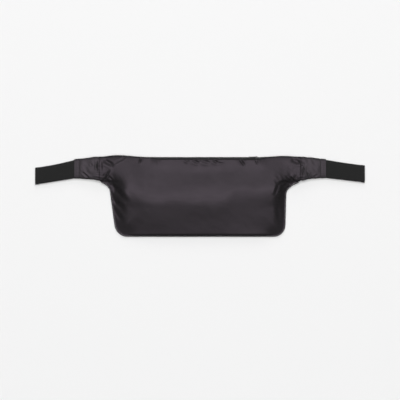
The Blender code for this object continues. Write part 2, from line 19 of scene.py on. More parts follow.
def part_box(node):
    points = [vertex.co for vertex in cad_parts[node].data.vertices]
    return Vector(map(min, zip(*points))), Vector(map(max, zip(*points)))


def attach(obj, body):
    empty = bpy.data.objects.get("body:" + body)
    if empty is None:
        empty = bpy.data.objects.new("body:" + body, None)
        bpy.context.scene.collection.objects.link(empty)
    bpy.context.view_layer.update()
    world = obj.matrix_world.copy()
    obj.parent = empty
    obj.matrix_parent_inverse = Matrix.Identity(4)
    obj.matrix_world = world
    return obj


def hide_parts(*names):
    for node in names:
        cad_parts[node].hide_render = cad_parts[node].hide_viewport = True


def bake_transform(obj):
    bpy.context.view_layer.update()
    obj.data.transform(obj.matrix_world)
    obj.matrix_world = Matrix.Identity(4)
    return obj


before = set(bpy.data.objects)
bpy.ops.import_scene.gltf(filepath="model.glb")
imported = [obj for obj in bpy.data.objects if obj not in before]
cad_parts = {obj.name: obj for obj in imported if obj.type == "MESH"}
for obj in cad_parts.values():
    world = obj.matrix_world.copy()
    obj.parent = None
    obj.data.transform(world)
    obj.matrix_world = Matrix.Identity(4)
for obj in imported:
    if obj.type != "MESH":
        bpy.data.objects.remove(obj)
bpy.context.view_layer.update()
LOG = logging.getLogger("changing_bag")
FULL_TURN = 2.0 * math.pi
SHARP_EDGE = math.radians(60.0)
ROUTE_STEP = 0.0040
GATHER_DEPTH = 0.0011
PINCH_DEPTH = 0.0014
PINCH_AT = 0.4043
PINCH_WIDTH = 0.0034


# ---------------------------------------------------------------- small helpers


def ease(t: np.ndarray | float) -> np.ndarray:
    """Rises from 0 to 1 with level ends.

    Args:
        t: Place along the rise, clipped to 0 and 1.

    Returns:
        The eased share.
    """
    t = np.clip(t, 0.0, 1.0)
    return t * t * (3.0 - 2.0 * t)


def ripple(x: np.ndarray, y: np.ndarray, length: float, seed: int) -> np.ndarray:
    """Soft random relief made of a few plane waves.

    Args:
        x: X of the points.
        y: Y of the points.
        length: Typical distance between two crests.
        seed: Fixed seed of the wave directions.

    Returns:
        Relief of about -1 to 1.
    """
    waves = 9
    draw = np.random.RandomState(seed)
    total = np.zeros(np.shape(x))
    for _ in range(waves):
        angle = draw.uniform(0.0, math.pi)
        rate = FULL_TURN / (length * draw.uniform(0.7, 1.6))
        total = total + np.sin(rate * (x * math.cos(angle) + y * math.sin(angle)) + draw.uniform(0, 9))
    return total / math.sqrt(waves)


def distance_to(points: np.ndarray, route: np.ndarray) -> np.ndarray:
    """Distance of plan points from a polyline.

    Args:
        points: Plan points, one row each.
        route: Corners of the polyline, one row each.

    Returns:
        The distance of each point.
    """
    best = np.full(len(points), np.inf)
    for a, b in zip(route[:-1], route[1:]):
        along = b - a
        share = np.clip((points - a) @ along / max(float(along @ along), 1e-12), 0.0, 1.0)
        best = np.minimum(best, np.linalg.norm(points - a - share[:, None] * along, axis=1))
    return best


def edge_distance(points: np.ndarray, loop: np.ndarray) -> np.ndarray:
    """Distance of plan points from a closed outline."""
    return distance_to(points, np.vstack([loop, loop[:1]]))


def length_along(*sides: np.ndarray) -> np.ndarray:
    """Length of a line up to each of its points, from its coordinates."""
    return np.concatenate([[0.0], np.cumsum(np.hypot(*(np.diff(side) for side in sides)))])


def strip_faces(rows: int, count: int, closed: bool = False) -> list[tuple[int, ...]]:
    """Faces of a tube through rings of points.

    Args:
        rows: Number of rings.
        count: Number of points in each ring.
        closed: True when the last ring joins the first, otherwise both ends get a cap.

    Returns:
        Vertex numbers of each face.
    """
    faces: list[tuple[int, ...]] = []
    for row in range(rows if closed else rows - 1):
        here, after = row * count, (row + 1) % rows * count
        for i in range(count):
            j = (i + 1) % count
            faces.append((here + i, here + j, after + j, after + i))
    if not closed:
        last = (rows - 1) * count
        faces += [tuple(reversed(range(count))), tuple(range(last, last + count))]
    return faces


def link(name: str, data: bpy.types.ID) -> bpy.types.Object:
    """Object at the origin of the scene."""
    made = bpy.data.objects.new(name, data)
    bpy.context.scene.collection.objects.link(made)
    return made


def make_piece(
    name: str,
    points: np.ndarray | list,
    faces: list,
    finish: bpy.types.Material,
    smooth: bool = True,
) -> bpy.types.Object:
    """Object at the origin with its place in its mesh.

    Args:
        name: Name of the piece.
        points: Vertices in the bag's frame.
        faces: Vertex numbers of each face.
        finish: Material of the whole piece.
        smooth: True for smooth shading.

    Returns:
        The linked object.
    """
    mesh = bpy.data.meshes.new(name)
    mesh.from_pydata([tuple(float(v) for v in p) for p in points], [], faces)
    mesh.validate()
    mesh.materials.append(finish)
    if smooth:
        mesh.shade_smooth()
    return link(name, mesh)


def route_piece(name: str, route: np.ndarray, finish: bpy.types.Material) -> bpy.types.Object:
    """Bare polyline for a node tree to work on.

    Args:
        name: Name of the piece.
        route: Points in order.
        finish: Material of the result.

    Returns:
        Piece with edges only.
    """
    mesh = bpy.data.meshes.new(name)
    edges = [(k, k + 1) for k in range(len(route) - 1)]
    mesh.from_pydata([tuple(float(v) for v in p) for p in route], edges, [])
    mesh.materials.append(finish)
    return link(name, mesh)


def report(piece: bpy.types.Object) -> None:
    """Logs a finished piece."""
    LOG.info("%s: %d faces", piece.name, len(piece.data.polygons))


def dress(piece: bpy.types.Object, body: str, node: str) -> None:
    """Puts a piece on its body in place of its solid.

    Args:
        piece: Finished piece.
        body: Name of the body that it moves with.
        node: Name of the solid that it stands for.
    """
    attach(piece, body)
    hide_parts(node)
    report(piece)


def settle(piece: bpy.types.Object) -> bpy.types.Object:
    """Turns a piece's live modifiers into a plain mesh.

    Args:
        piece: Piece with modifiers.

    Returns:
        The same piece, with the evaluated mesh and no modifiers.
    """
    graph = bpy.context.evaluated_depsgraph_get()
    plain = bpy.data.meshes.new_from_object(piece.evaluated_get(graph), depsgraph=graph)
    piece.modifiers.clear()
    piece.data = plain
    return piece


def give_wall(piece: bpy.types.Object, wall: float) -> bpy.types.Object:
    """Gives a single sheet its thickness on its inner side.

    Args:
        piece: Open sheet whose faces point outwards.
        wall: Thickness of the cloth.

    Returns:
        The same piece as a closed shell.
    """
    shell = piece.modifiers.new("cloth", "SOLIDIFY")
    shell.thickness = wall
    shell.offset = -1.0
    shell.use_even_offset = False
    settle(piece)
    piece.data.set_sharp_from_angle(angle=SHARP_EDGE)
    return piece


def face_out(piece: bpy.types.Object) -> bpy.types.Object:
    """Turns a closed mesh's faces outwards.

    Args:
        piece: Piece with a closed mesh.

    Returns:
        The same piece.
    """
    work = bmesh.new()
    work.from_mesh(piece.data)
    if work.calc_volume(signed=True) < 0.0:
        bmesh.ops.reverse_faces(work, faces=work.faces)
    work.to_mesh(piece.data)
    work.free()
    return piece


class Graph:
    """A tree of nodes that is built by short calls."""

    def __init__(self, tree: bpy.types.NodeTree) -> None:
        """Starts from a tree."""
        self.tree = tree

    def node(self, kind: str, values: dict | None = None, **settings: object) -> bpy.types.Node:
        """Adds a node.

        Args:
            kind: Blender's name of the node type.
            values: Input values, or sockets to link, by input name or number.
            settings: Properties of the node itself.

        Returns:
            The new node.
        """
        made = self.tree.nodes.new(kind)
        for key, value in settings.items():
            setattr(made, key, value)
        for key, value in (values or {}).items():
            if isinstance(value, bpy.types.NodeSocket):
                self.tree.links.new(value, made.inputs[key])
            else:
                made.inputs[key].default_value = value
        return made

    def maths(self, operation: str, a: object, b: object = 0.0) -> bpy.types.NodeSocket:
        """Result of a Math node on two values or sockets."""
        return self.node("ShaderNodeMath", {0: a, 1: b}, operation=operation).outputs[0]


# ---------------------------------------------------------------- finishes


class Shader(Graph):
    """A Principled material."""

    def __init__(self, name: str) -> None:
        """Starts a material with one Principled shader."""
        self.material = bpy.data.materials.new(name)
        self.material.use_nodes = True
        super().__init__(self.material.node_tree)
        self.shader = self.tree.nodes["Principled BSDF"]

    def place(self, turn: float = 0.0) -> bpy.types.NodeSocket:
        """Object coordinates, turned about Z."""
        spot = self.node("ShaderNodeTexCoord").outputs["Object"]
        if turn == 0.0:
            return spot
        values = {"Vector": spot, "Rotation": (0.0, 0.0, turn)}
        return self.node("ShaderNodeMapping", values).outputs[0]

    def noise(self, spot: bpy.types.NodeSocket, scale: float, detail: float = 3.0) -> bpy.types.NodeSocket:
        """Factor of a Noise texture."""
        values = {"Vector": spot, "Scale": scale, "Detail": detail, "Roughness": 0.55}
        return self.node("ShaderNodeTexNoise", values).outputs[0]

    def bands(self, spot: bpy.types.NodeSocket, pitch: float, axis: str) -> bpy.types.NodeSocket:
        """Rounded bands across one axis, one for each pitch."""
        split = self.node("ShaderNodeSeparateXYZ", {0: spot})
        turn = self.maths("MULTIPLY", split.outputs[axis], FULL_TURN / pitch)
        return self.maths("MULTIPLY", self.maths("ADD", self.maths("SINE", turn), 1.0), 0.5)

    def tint(
        self, share: bpy.types.NodeSocket, low: tuple[float, ...], high: tuple[float, ...]
    ) -> bpy.types.NodeSocket:
        """Colour between two colours."""
        values = {0: share, 6: (*low, 1.0), 7: (*high, 1.0)}
        mix = self.node("ShaderNodeMix", values, data_type="RGBA", clamp_factor=True)
        return mix.outputs[2]

    def spread(self, share: bpy.types.NodeSocket, low: float, high: float) -> bpy.types.NodeSocket:
        """Value between two values."""
        return self.node("ShaderNodeMapRange", {0: share, 3: low, 4: high}).outputs[0]

    def bump(
        self,
        height: bpy.types.NodeSocket,
        depth: float,
        strength: float,
        under: bpy.types.NodeSocket | None = None,
    ) -> bpy.types.NodeSocket:
        """Bumped normal, on top of another bump when one is given."""
        values = {"Height": height, "Distance": depth, "Strength": strength}
        if under is not None:
            values["Normal"] = under
        return self.node("ShaderNodeBump", values).outputs[0]

    def set(self, **values: object) -> None:
        """Sets or links the shader's own inputs, with underscores for spaces."""
        for key, value in values.items():
            socket = self.shader.inputs[key.replace("_", " ")]
            if isinstance(value, bpy.types.NodeSocket):
                self.tree.links.new(value, socket)
            else:
                socket.default_value = value


def shade(colour: tuple[float, float, float], share: float) -> tuple[float, ...]:
    """A colour made lighter or darker by a share."""
    return tuple(channel * share for channel in colour)


class Weave(Enum):
    """How a cloth's threads cross."""

    PLAIN = "plain"
    TWILL = "twill"
    HERRINGBONE = "herringbone"


@dataclass(frozen=True)
class Cloth:
    """A woven cloth."""

    name: str
    colour: tuple[float, float, float]
    roughness: float
    pitch: float
    weave: Weave
    weave_depth: float
    crinkle: float
    sheen: float
    specular: float
    glint: tuple[float, float, float] = (1.0, 1.0, 1.0)

    def threads(self, make: Shader) -> bpy.types.NodeSocket:
        """Height of the threads, 0 to 1.

        Args:
            make: The shader being built.

        Returns:
            Socket with the height.
        """
        spot = make.place()
        if self.weave is Weave.PLAIN:
            across = make.bands(spot, self.pitch, "X")
            along = make.bands(spot, self.pitch, "Y")
            over = make.maths("MULTIPLY", across, along)
            under_x = make.maths("SUBTRACT", 1.0, across)
            under_y = make.maths("SUBTRACT", 1.0, along)
            return make.maths("ADD", over, make.maths("MULTIPLY", under_x, under_y))
        split = make.node("ShaderNodeSeparateXYZ", {0: spot})
        x, y = split.outputs["X"], split.outputs["Y"]
        if self.weave is Weave.HERRINGBONE:
            x = make.maths("PINGPONG", x, 4.0 * self.pitch)
        turn = make.maths("MULTIPLY", make.maths("ADD", x, y), FULL_TURN / self.pitch)
        return make.maths("MULTIPLY", make.maths("ADD", make.maths("SINE", turn), 1.0), 0.5)

    def material(self) -> bpy.types.Material:
        """Weave, crinkles, worn tone and sheen, with painted shade in the weave's hollows and a painted
        highlight on its raised threads.
        """
        make = Shader(self.name)
        spot = make.place()
        tone = make.noise(spot, 7.0, 4.0)
        threads = self.threads(make)
        mottled = make.tint(tone, shade(self.colour, 0.90), shade(self.colour, 1.10))
        # Colour follows the thread height: painted shade in the weave's hollows, painted highlight on the
        # raised threads.
        painted_weave_shading = make.tint(make.spread(threads, 0.0, 1.0), shade(self.colour, 0.78), shade(self.colour, 1.12))
        both = make.node("ShaderNodeMix", {0: 0.45, 6: mottled, 7: painted_weave_shading}, data_type="RGBA").outputs[2]
        creased = make.bump(make.noise(spot, 46.0, 5.0), 0.0016, self.crinkle)
        woven = make.bump(threads, self.weave_depth, 0.6, creased)
        rough = make.spread(make.noise(spot, 24.0, 3.0), self.roughness - 0.05, self.roughness + 0.06)
        make.set(
            Base_Color=both,
            Roughness=rough,
            Normal=woven,
            Sheen_Weight=self.sheen,
            Sheen_Roughness=0.45,
            Specular_IOR_Level=self.specular,
            Specular_Tint=(*self.glint, 1.0),
        )
        return make.material


@dataclass(frozen=True)
class RibbedElastic:
    """Matt knitted elastic with a fine cross thread."""

    name: str
    colour: tuple[float, float, float]
    pitch: float = 0.0011

    def material(self) -> bpy.types.Material:
        """Knit rows across the ribs, with a little fuzz."""
        make = Shader(self.name)
        spot = make.place()
        rows = make.bands(spot, self.pitch, "X")
        fuzz = make.noise(spot, 900.0, 2.0)
        tone = make.noise(spot, 26.0, 4.0)
        shown = make.tint(tone, shade(self.colour, 0.82), shade(self.colour, 1.16))
        fibres = make.bump(fuzz, 0.0003, 0.5)
        make.set(
            Base_Color=shown,
            Roughness=make.spread(tone, 0.86, 0.96),
            Normal=make.bump(rows, 0.00025, 0.7, fibres),
            Sheen_Weight=0.12,
            Sheen_Roughness=0.6,
            Specular_IOR_Level=0.2,
        )
        return make.material


@dataclass(frozen=True)
class Moulded:
    """Plastic or enamelled metal of a small fitting, with rubbed high spots."""

    name: str
    colour: tuple[float, float, float]
    rubbed: tuple[float, float, float]
    roughness: float
    metallic: float
    coat: float

    def material(self) -> bpy.types.Material:
        """Fine orange peel, dusty tone and rubbed edges."""
        make = Shader(self.name)
        spot = make.place()
        peel = make.noise(spot, 1400.0, 2.0)
        dust = make.noise(spot, 160.0, 4.0)
        edges = make.spread(make.node("ShaderNodeNewGeometry").outputs["Pointiness"], 0.0, 1.0)
        worn = make.node(
            "ShaderNodeMapRange", {0: make.maths("MULTIPLY", edges, dust), 1: 0.29, 2: 0.36}
        ).outputs[0]
        make.set(
            Base_Color=make.tint(worn, self.colour, self.rubbed),
            Roughness=make.spread(dust, self.roughness - 0.07, self.roughness + 0.10),
            Metallic=self.metallic,
            Normal=make.bump(peel, 0.00006, 0.35),
            Coat_Weight=self.coat,
            Coat_Roughness=0.25,
        )
        return make.material


@dataclass(frozen=True)
class Thread:
    """Twisted polyester sewing thread."""

    name: str
    colour: tuple[float, float, float]
    twist: float = 0.0007

    def material(self) -> bpy.types.Material:
        """Slanting twist lines on a soft gloss, with painted shade in the twist's grooves and a painted
        highlight on its ridges.
        """
        make = Shader(self.name)
        slant = make.place(turn=0.8)
        lines = make.bands(slant, self.twist, "X")
        make.set(
            # Colour follows the twist lines: painted shade in the grooves, painted highlight on the ridges.
            Base_Color=make.tint(lines, shade(self.colour, 0.7), shade(self.colour, 1.2)),
            Roughness=make.spread(lines, 0.55, 0.42),
            Normal=make.bump(lines, 0.0001, 0.5),
        )
        return make.material


NYLON_COLOUR = (0.0175, 0.0163, 0.0172)
# Lighter copy of the nylon for the sleeves and end bands: painted highlight, the same cloth shown brighter.
NYLON_PAINTED_LIGHTER_COLOUR = (0.0275, 0.0258, 0.0272)
NYLON_GLINT = (1.0, 0.82, 1.0)


class Finishes:
    """Every material of the bag, made once."""

    def __init__(self) -> None:
        """Makes the materials. The sleeves and their end bands get a lighter copy of the nylon, a painted
        highlight for the sheen that they catch.
        """
        self.nylon, self.nylon_painted_lighter = (
            Cloth(name, colour, 0.50, 0.0009, Weave.PLAIN, 0.00010, 0.25, 0.0, 0.31, NYLON_GLINT).material()
            for name, colour in (
                ("satin_nylon", NYLON_COLOUR), ("satin_nylon_cross_cut", NYLON_PAINTED_LIGHTER_COLOUR),
            )
        )
        self.piping = Cloth(
            "piping_cover", (0.034, 0.032, 0.034), 0.5, 0.0009, Weave.TWILL, 0.0001, 0.1, 0.05, 0.4
        ).material()
        self.lining = Cloth(
            "lining_cotton", (0.012, 0.012, 0.013), 0.85, 0.0008, Weave.PLAIN, 0.0001, 0.3, 0.1, 0.2
        ).material()
        self.tape = Cloth(
            "zip_tape", (0.024, 0.023, 0.024), 0.8, 0.0012, Weave.HERRINGBONE, 0.0002, 0.05, 0.05, 0.20
        ).material()
        self.elastic = RibbedElastic("ribbed_elastic", (0.0125, 0.0125, 0.0126)).material()
        self.coil = Moulded(
            "coil_nylon", (0.018, 0.018, 0.019), (0.05, 0.05, 0.052), 0.42, 0.0, 0.0
        ).material()
        self.enamel = Moulded(
            "black_enamel", (0.022, 0.022, 0.024), (0.30, 0.30, 0.31), 0.38, 0.25, 0.4
        ).material()
        self.thread = Thread("sewing_thread", (0.026, 0.025, 0.027)).material()


# ---------------------------------------------------------------- node trees for what repeats


class NodeTree(Graph):
    """A Geometry Nodes tree with named inputs."""

    def __init__(self, name: str, inputs: dict[str, tuple[str, object]]) -> None:
        """Starts a tree.

        Args:
            name: Name of the tree.
            inputs: Socket type and value of each named input.
        """
        super().__init__(bpy.data.node_groups.new(name, "GeometryNodeTree"))
        face = self.tree.interface
        face.new_socket("Geometry", in_out="INPUT", socket_type="NodeSocketGeometry")
        for label, (kind, value) in inputs.items():
            socket = face.new_socket(label, in_out="INPUT", socket_type=kind)
            if value is not None:
                socket.default_value = value
        face.new_socket("Geometry", in_out="OUTPUT", socket_type="NodeSocketGeometry")
        self.entry = self.tree.nodes.new("NodeGroupInput")
        self.exit = self.tree.nodes.new("NodeGroupOutput")

    def finish_with(self, shape: bpy.types.NodeSocket) -> None:
        """Ends the tree in Realize Instances and Set Material."""
        real = self.node("GeometryNodeRealizeInstances", {0: shape})
        dressed = self.node(
            "GeometryNodeSetMaterial", {0: real.outputs[0], "Material": self.entry.outputs["Finish"]}
        )
        self.tree.links.new(dressed.outputs[0], self.exit.inputs[0])

    def run(self, piece: bpy.types.Object, **values: object) -> bpy.types.Object:
        """Runs the tree on a piece and keeps the plain result.

        Args:
            piece: Piece whose mesh goes into the tree.
            values: Value of each named input, with underscores for spaces.

        Returns:
            The same piece with the resulting mesh.
        """
        live = piece.modifiers.new(self.tree.name, "NODES")
        live.node_group = self.tree
        for item in self.tree.interface.items_tree:
            key = item.name.replace(" ", "_")
            if item.item_type == "SOCKET" and item.in_out == "INPUT" and key in values:
                live[item.identifier] = values[key]
        return settle(piece)


class Trees:
    """The trees that the bag uses."""

    def __init__(self) -> None:
        """Builds each tree once."""
        self.stitches = self.build_stitches()
        self.cord = self.build_cord()
        self.row = self.build_row()
        self.ribs = self.build_ribs()

    @staticmethod
    def build_stitches() -> NodeTree:
        """Thread stitches laid end to end along a route."""
        made = NodeTree("stitch_run", {
            "Pitch": ("NodeSocketFloat", 0.003),
            "Length": ("NodeSocketFloat", 0.0022),
            "Thickness": ("NodeSocketFloat", 0.0005),
            "Finish": ("NodeSocketMaterial", None),
        })
        inputs = made.entry.outputs
        path = made.node("GeometryNodeMeshToCurve", {0: inputs["Geometry"]})
        spots = made.node(
            "GeometryNodeCurveToPoints", {"Curve": path.outputs[0], "Length": inputs["Pitch"]},
            mode="LENGTH",
        )
        bead = made.node("GeometryNodeMeshUVSphere", {"Segments": 6, "Rings": 4, "Radius": 0.5})
        size = made.node(
            "ShaderNodeCombineXYZ",
            {0: inputs["Length"], 1: inputs["Thickness"], 2: inputs["Thickness"]},
        )
        turn = made.node(
            "FunctionNodeAlignRotationToVector", {"Vector": spots.outputs["Tangent"]}, axis="X"
        )
        laid = made.node("GeometryNodeInstanceOnPoints", {
            "Points": spots.outputs["Points"], "Instance": bead.outputs["Mesh"],
            "Rotation": turn.outputs[0], "Scale": size.outputs[0],
        })
        made.finish_with(laid.outputs[0])
        return made

    @staticmethod
    def build_cord() -> NodeTree:
        """Round cord swept along a route, with closed ends."""
        made = NodeTree("covered_cord", {
            "Radius": ("NodeSocketFloat", 0.0016),
            "Step": ("NodeSocketFloat", 0.003),
            "Finish": ("NodeSocketMaterial", None),
        })
        inputs = made.entry.outputs
        path = made.node("GeometryNodeMeshToCurve", {0: inputs["Geometry"]})
        even = made.node(
            "GeometryNodeResampleCurve", {"Curve": path.outputs[0], "Length": inputs["Step"]},
            mode="LENGTH",
        )
        ring = made.node(
            "GeometryNodeCurvePrimitiveCircle", {"Resolution": 12, "Radius": inputs["Radius"]}
        )
        swept = made.node("GeometryNodeCurveToMesh", {
            "Curve": even.outputs[0], "Profile Curve": ring.outputs[0], "Fill Caps": True,
        })
        soft = made.node("GeometryNodeSetShadeSmooth", {0: swept.outputs[0]})
        made.finish_with(soft.outputs[0])
        return made

    @staticmethod
    def build_row() -> NodeTree:
        """The piece itself, repeated in a straight row."""
        made = NodeTree("row_of_teeth", {
            "Count": ("NodeSocketInt", 10),
            "Start": ("NodeSocketVector", (0.0, 0.0, 0.0)),
            "Step": ("NodeSocketVector", (0.0013, 0.0, 0.0)),
            "Finish": ("NodeSocketMaterial", None),
        })
        inputs = made.entry.outputs
        line = made.node("GeometryNodeMeshLine", {
            "Count": inputs["Count"], "Start Location": inputs["Start"], "Offset": inputs["Step"],
        })
        laid = made.node(
            "GeometryNodeInstanceOnPoints",
            {"Points": line.outputs[0], "Instance": inputs["Geometry"]},
        )
        made.finish_with(laid.outputs[0])
        return made

    @staticmethod
    def build_ribs() -> NodeTree:
        """Ribs raised along a tube, from the stored share of the way round it."""
        made = NodeTree("raised_ribs", {
            "Ribs": ("NodeSocketFloat", 70.0),
            "Height": ("NodeSocketFloat", 0.0006),
            "Finish": ("NodeSocketMaterial", None),
        })
        inputs = made.entry.outputs

        def stored(name: str) -> bpy.types.NodeSocket:
            """Socket with a stored number."""
            read = made.node("GeometryNodeInputNamedAttribute", {"Name": name}, data_type="FLOAT")
            return read.outputs["Attribute"]

        turn = made.maths("MULTIPLY", made.maths("MULTIPLY", stored("around"), inputs["Ribs"]), FULL_TURN)
        wave = made.maths("MULTIPLY", made.maths("COSINE", turn), 0.5)
        lift = made.maths("MULTIPLY", made.maths("MULTIPLY", wave, inputs["Height"]), stored("rib_share"))
        normal = made.node("GeometryNodeInputNormal")
        push = made.node(
            "ShaderNodeVectorMath", {0: normal.outputs[0], "Scale": lift}, operation="SCALE"
        )
        moved = made.node("GeometryNodeSetPosition", {0: inputs["Geometry"], "Offset": push.outputs[0]})
        made.finish_with(moved.outputs[0])
        return made


@dataclass(frozen=True)
class StitchRow:
    """Sizes of a row of thread stitches."""

    pitch: float
    length: float
    thick: float

    def sew(
        self, name: str, route: np.ndarray, finishes: Finishes, trees: Trees
    ) -> bpy.types.Object:
        """Lays the stitches along a route.

        Args:
            name: Name of the piece.
            route: Points in order.
            finishes: The materials.
            trees: The node trees.

        Returns:
            The piece.
        """
        piece = route_piece(name, route, finishes.thread)
        return trees.stitches.run(
            piece, Pitch=self.pitch, Length=self.length, Thickness=self.thick, Finish=finishes.thread
        )


# ---------------------------------------------------------------- plan of the bag


@dataclass(frozen=True)
class Hollow:
    """Curve under one arm, from the side seam to the sleeve: a quarter of a squared-off ellipse."""

    out: float
    foot: float
    wide: float
    high: float
    power: float

    def distance(self, y: np.ndarray, inset: float) -> np.ndarray:
        """Distance of the curve from the middle of the bag at a level."""
        up = np.clip((y - self.foot) / (self.high + inset), 0.0, 1.0)
        return self.out - (self.wide + inset) * (1.0 - up**self.power) ** (1.0 / self.power)

    def level(self, out: float) -> float:
        """Level of the curve at a distance from the middle of the bag."""
        over = min(1.0, max(0.0, (self.out - out) / self.wide))
        return self.foot + self.high * (1.0 - over**self.power) ** (1.0 / self.power)


@dataclass(frozen=True)
class Plan:
    """Outline of the bag as it lies flat, and the height of its seam."""

    left_side: float = 0.3331
    right_side: float = 0.3375
    left_flare: float = 0.0296
    right_flare: float = 0.0060
    bottom: float = -0.1595
    zip_edge: float = 0.1555
    corner: float = 0.0420
    armpit_y: float = 0.0590
    left_hollow: Hollow = Hollow(0.4680, 0.0080, 0.1125, 0.0591, 2.4)
    right_hollow: Hollow = Hollow(0.4720, 0.0050, 0.1304, 0.0648, 2.0)
    reach: float = 0.4000
    root_top: float = 0.1572
    left_peak: float = 0.0078
    right_peak: float = 0.0047
    peak_at: float = 0.3350
    zip_low: float = -0.1688
    zip_high: float = 0.2388
    band_fade: float = 0.0300
    band_half: float = 0.0115
    band_settle: float = 0.0600
    lean: float = math.radians(18.0)
    seam_low: float = 0.0070
    seam_high: float = 0.0150
    root_thick: float = 0.0300
    root_power: float = 0.62
    climb_from: float = 0.3350

    def top(self, x: np.ndarray) -> np.ndarray:
        """Y of the bag's top edge: straight along the zip, with a rise over each shoulder."""
        x = np.asarray(x, float)
        left = x < 0.0
        start = np.where(left, -(self.zip_low - self.band_fade), self.zip_high)
        peak = np.where(left, self.left_peak, self.right_peak)
        rise = peak * ease((np.abs(x) - start) / (self.peak_at - start))
        fall = ease((np.abs(x) - self.peak_at) / (self.reach - self.peak_at))
        return self.zip_edge + rise + (self.root_top - self.zip_edge - peak) * fall

    def side(self, y: np.ndarray, left: bool, inset: float = 0.0) -> np.ndarray:
        """Distance of a side seam from the middle, with its corner and armpit curves."""
        y = np.asarray(y, float)
        side = self.left_side if left else self.right_side
        flare = self.left_flare if left else self.right_flare
        along = (y - inset - self.bottom) / (self.armpit_y - self.bottom)
        into_corner = np.maximum(0.0, self.bottom + self.corner - y + inset)
        corner = self.corner - np.sqrt(np.maximum(0.0, self.corner**2 - into_corner**2))
        line = side + flare * np.minimum(along, 1.0) - corner - inset
        hollow = self.left_hollow if left else self.right_hollow
        return np.where(y > hollow.foot, np.maximum(line, hollow.distance(y, inset)), line)

    def parting(self, x: np.ndarray) -> np.ndarray:
        """Half the width of the zip band at a place along the bag."""
        x = np.asarray(x, float)
        past = np.maximum(np.maximum(self.zip_low - x, x - self.zip_high), 0.0)
        return self.band_half * np.maximum(0.0, 1.0 - past / self.band_fade)

    def seam(self, y: np.ndarray) -> np.ndarray:
        """Height of the seam along the body."""
        return self.seam_low + (self.seam_high - self.seam_low) * ease(np.asarray(y) / self.zip_edge)

    def edge_height(self, x: np.ndarray, y: np.ndarray) -> np.ndarray:
        """Height of the seam, which climbs to the middle of the sleeve root."""
        near = ease((np.abs(x) - self.climb_from) / (self.reach - self.climb_from))
        return self.seam(y) + (0.5 * self.root_thick - self.seam(y)) * near

    def front_top(self, x: np.ndarray) -> np.ndarray:
        """Y of the front panel's own top edge, which leans back over the zip."""
        return self.top(x) - 2.0 * self.parting(x) * math.sin(self.lean)

    def root_height(self, y: np.ndarray, upper: bool) -> np.ndarray:
        """Height of the flattened ring at a sleeve root."""
        half_y = 0.5 * (self.root_top - self.armpit_y)
        share = np.clip(np.abs(np.asarray(y) - self.armpit_y - half_y) / half_y, 0.0, 1.0)
        power = 2.0 / self.root_power
        lift = 0.5 * self.root_thick * (1.0 - share**power) ** (1.0 / power)
        return 0.5 * self.root_thick + (lift if upper else -lift)

    def side_route(self, left: bool, step: float, inset: float = 0.0) -> np.ndarray:
        """Corners of one side seam from the bottom edge to the armpit.

        Args:
            left: True for the left side.
            step: Distance between the corners, about.
            inset: How far inside the outer bag's seam the route runs.

        Returns:
            Plan points, one row each.
        """
        sign = -1.0 if left else 1.0
        hollow = self.left_hollow if left else self.right_hollow
        high = hollow.high + inset
        turn = np.linspace(0.0, 0.5 * math.pi, max(8, int(1.6 * self.corner / step)))
        straight = np.arange(self.bottom + self.corner + step, hollow.foot - 0.5 * step, step)
        last = math.asin(min(1.0, (self.armpit_y + inset - hollow.foot) / high))
        arc = np.linspace(0.0, last, max(8, int(1.4 * high / step)))
        levels = np.concatenate([
            self.bottom + inset + self.corner * (1.0 - np.cos(turn)),
            straight,
            hollow.foot + high * np.sin(arc),
        ])
        levels = np.unique(np.round(levels, 6))
        route = np.column_stack([sign * self.side(levels, left, inset), levels])
        route[-1][0] = sign * self.reach
        return route

    def share_round(self, y: np.ndarray) -> np.ndarray:
        """Share of the way round the sleeve root at which its upper side has a given Y."""
        angle = np.linspace(0.0, math.pi, 361)
        half = 0.5 * (self.root_top - self.armpit_y)
        across = np.sign(np.cos(angle)) * np.abs(np.cos(angle)) ** self.root_power
        across = self.armpit_y + half + half * across
        up = 0.5 * self.root_thick * np.sin(angle) ** self.root_power
        run = length_along(across, up)
        return np.interp(y, across[::-1], 0.5 * run[::-1] / run[-1])

    def loop(self, step: float, front: bool, inset: float = 0.0, zip_inset: float = 0.0) -> np.ndarray:
        """Closed outline of a panel, counterclockwise.

        Args:
            step: Distance between its corners, about.
            front: True for the front panel, which stops short of the zip.
            inset: How far inside the outer bag's seams.
            zip_inset: How far inside the outer bag's zip edge.

        Returns:
            Plan points, one row each.
        """
        right = self.side_route(False, step, inset)
        left = self.side_route(True, step, inset)[::-1]
        across = np.arange(left[-1][0] + step, right[0][0] - 0.5 * step, step)
        low = np.column_stack([across, np.full(len(across), self.bottom + inset)])
        base = self.armpit_y + inset
        span = np.linspace(self.reach, -self.reach, int(2.0 * self.reach / step) + 1)
        edge = self.front_top(span) if front else self.top(span)
        clear = self.zip_high + self.band_fade
        shift = inset + (zip_inset - inset) * (1.0 - ease((np.abs(span) - clear) / (self.reach - clear)))
        crest = np.column_stack([span, edge - shift])
        climb = np.arange(base + step, float(crest[0][1]) - 0.5 * step, step)
        up_right = np.column_stack([np.full(len(climb), self.reach), climb])
        up_left = np.column_stack([np.full(len(climb), -self.reach), climb[::-1]])
        return np.concatenate([low, right, up_right, crest, up_left, left])


PLAN = Plan()


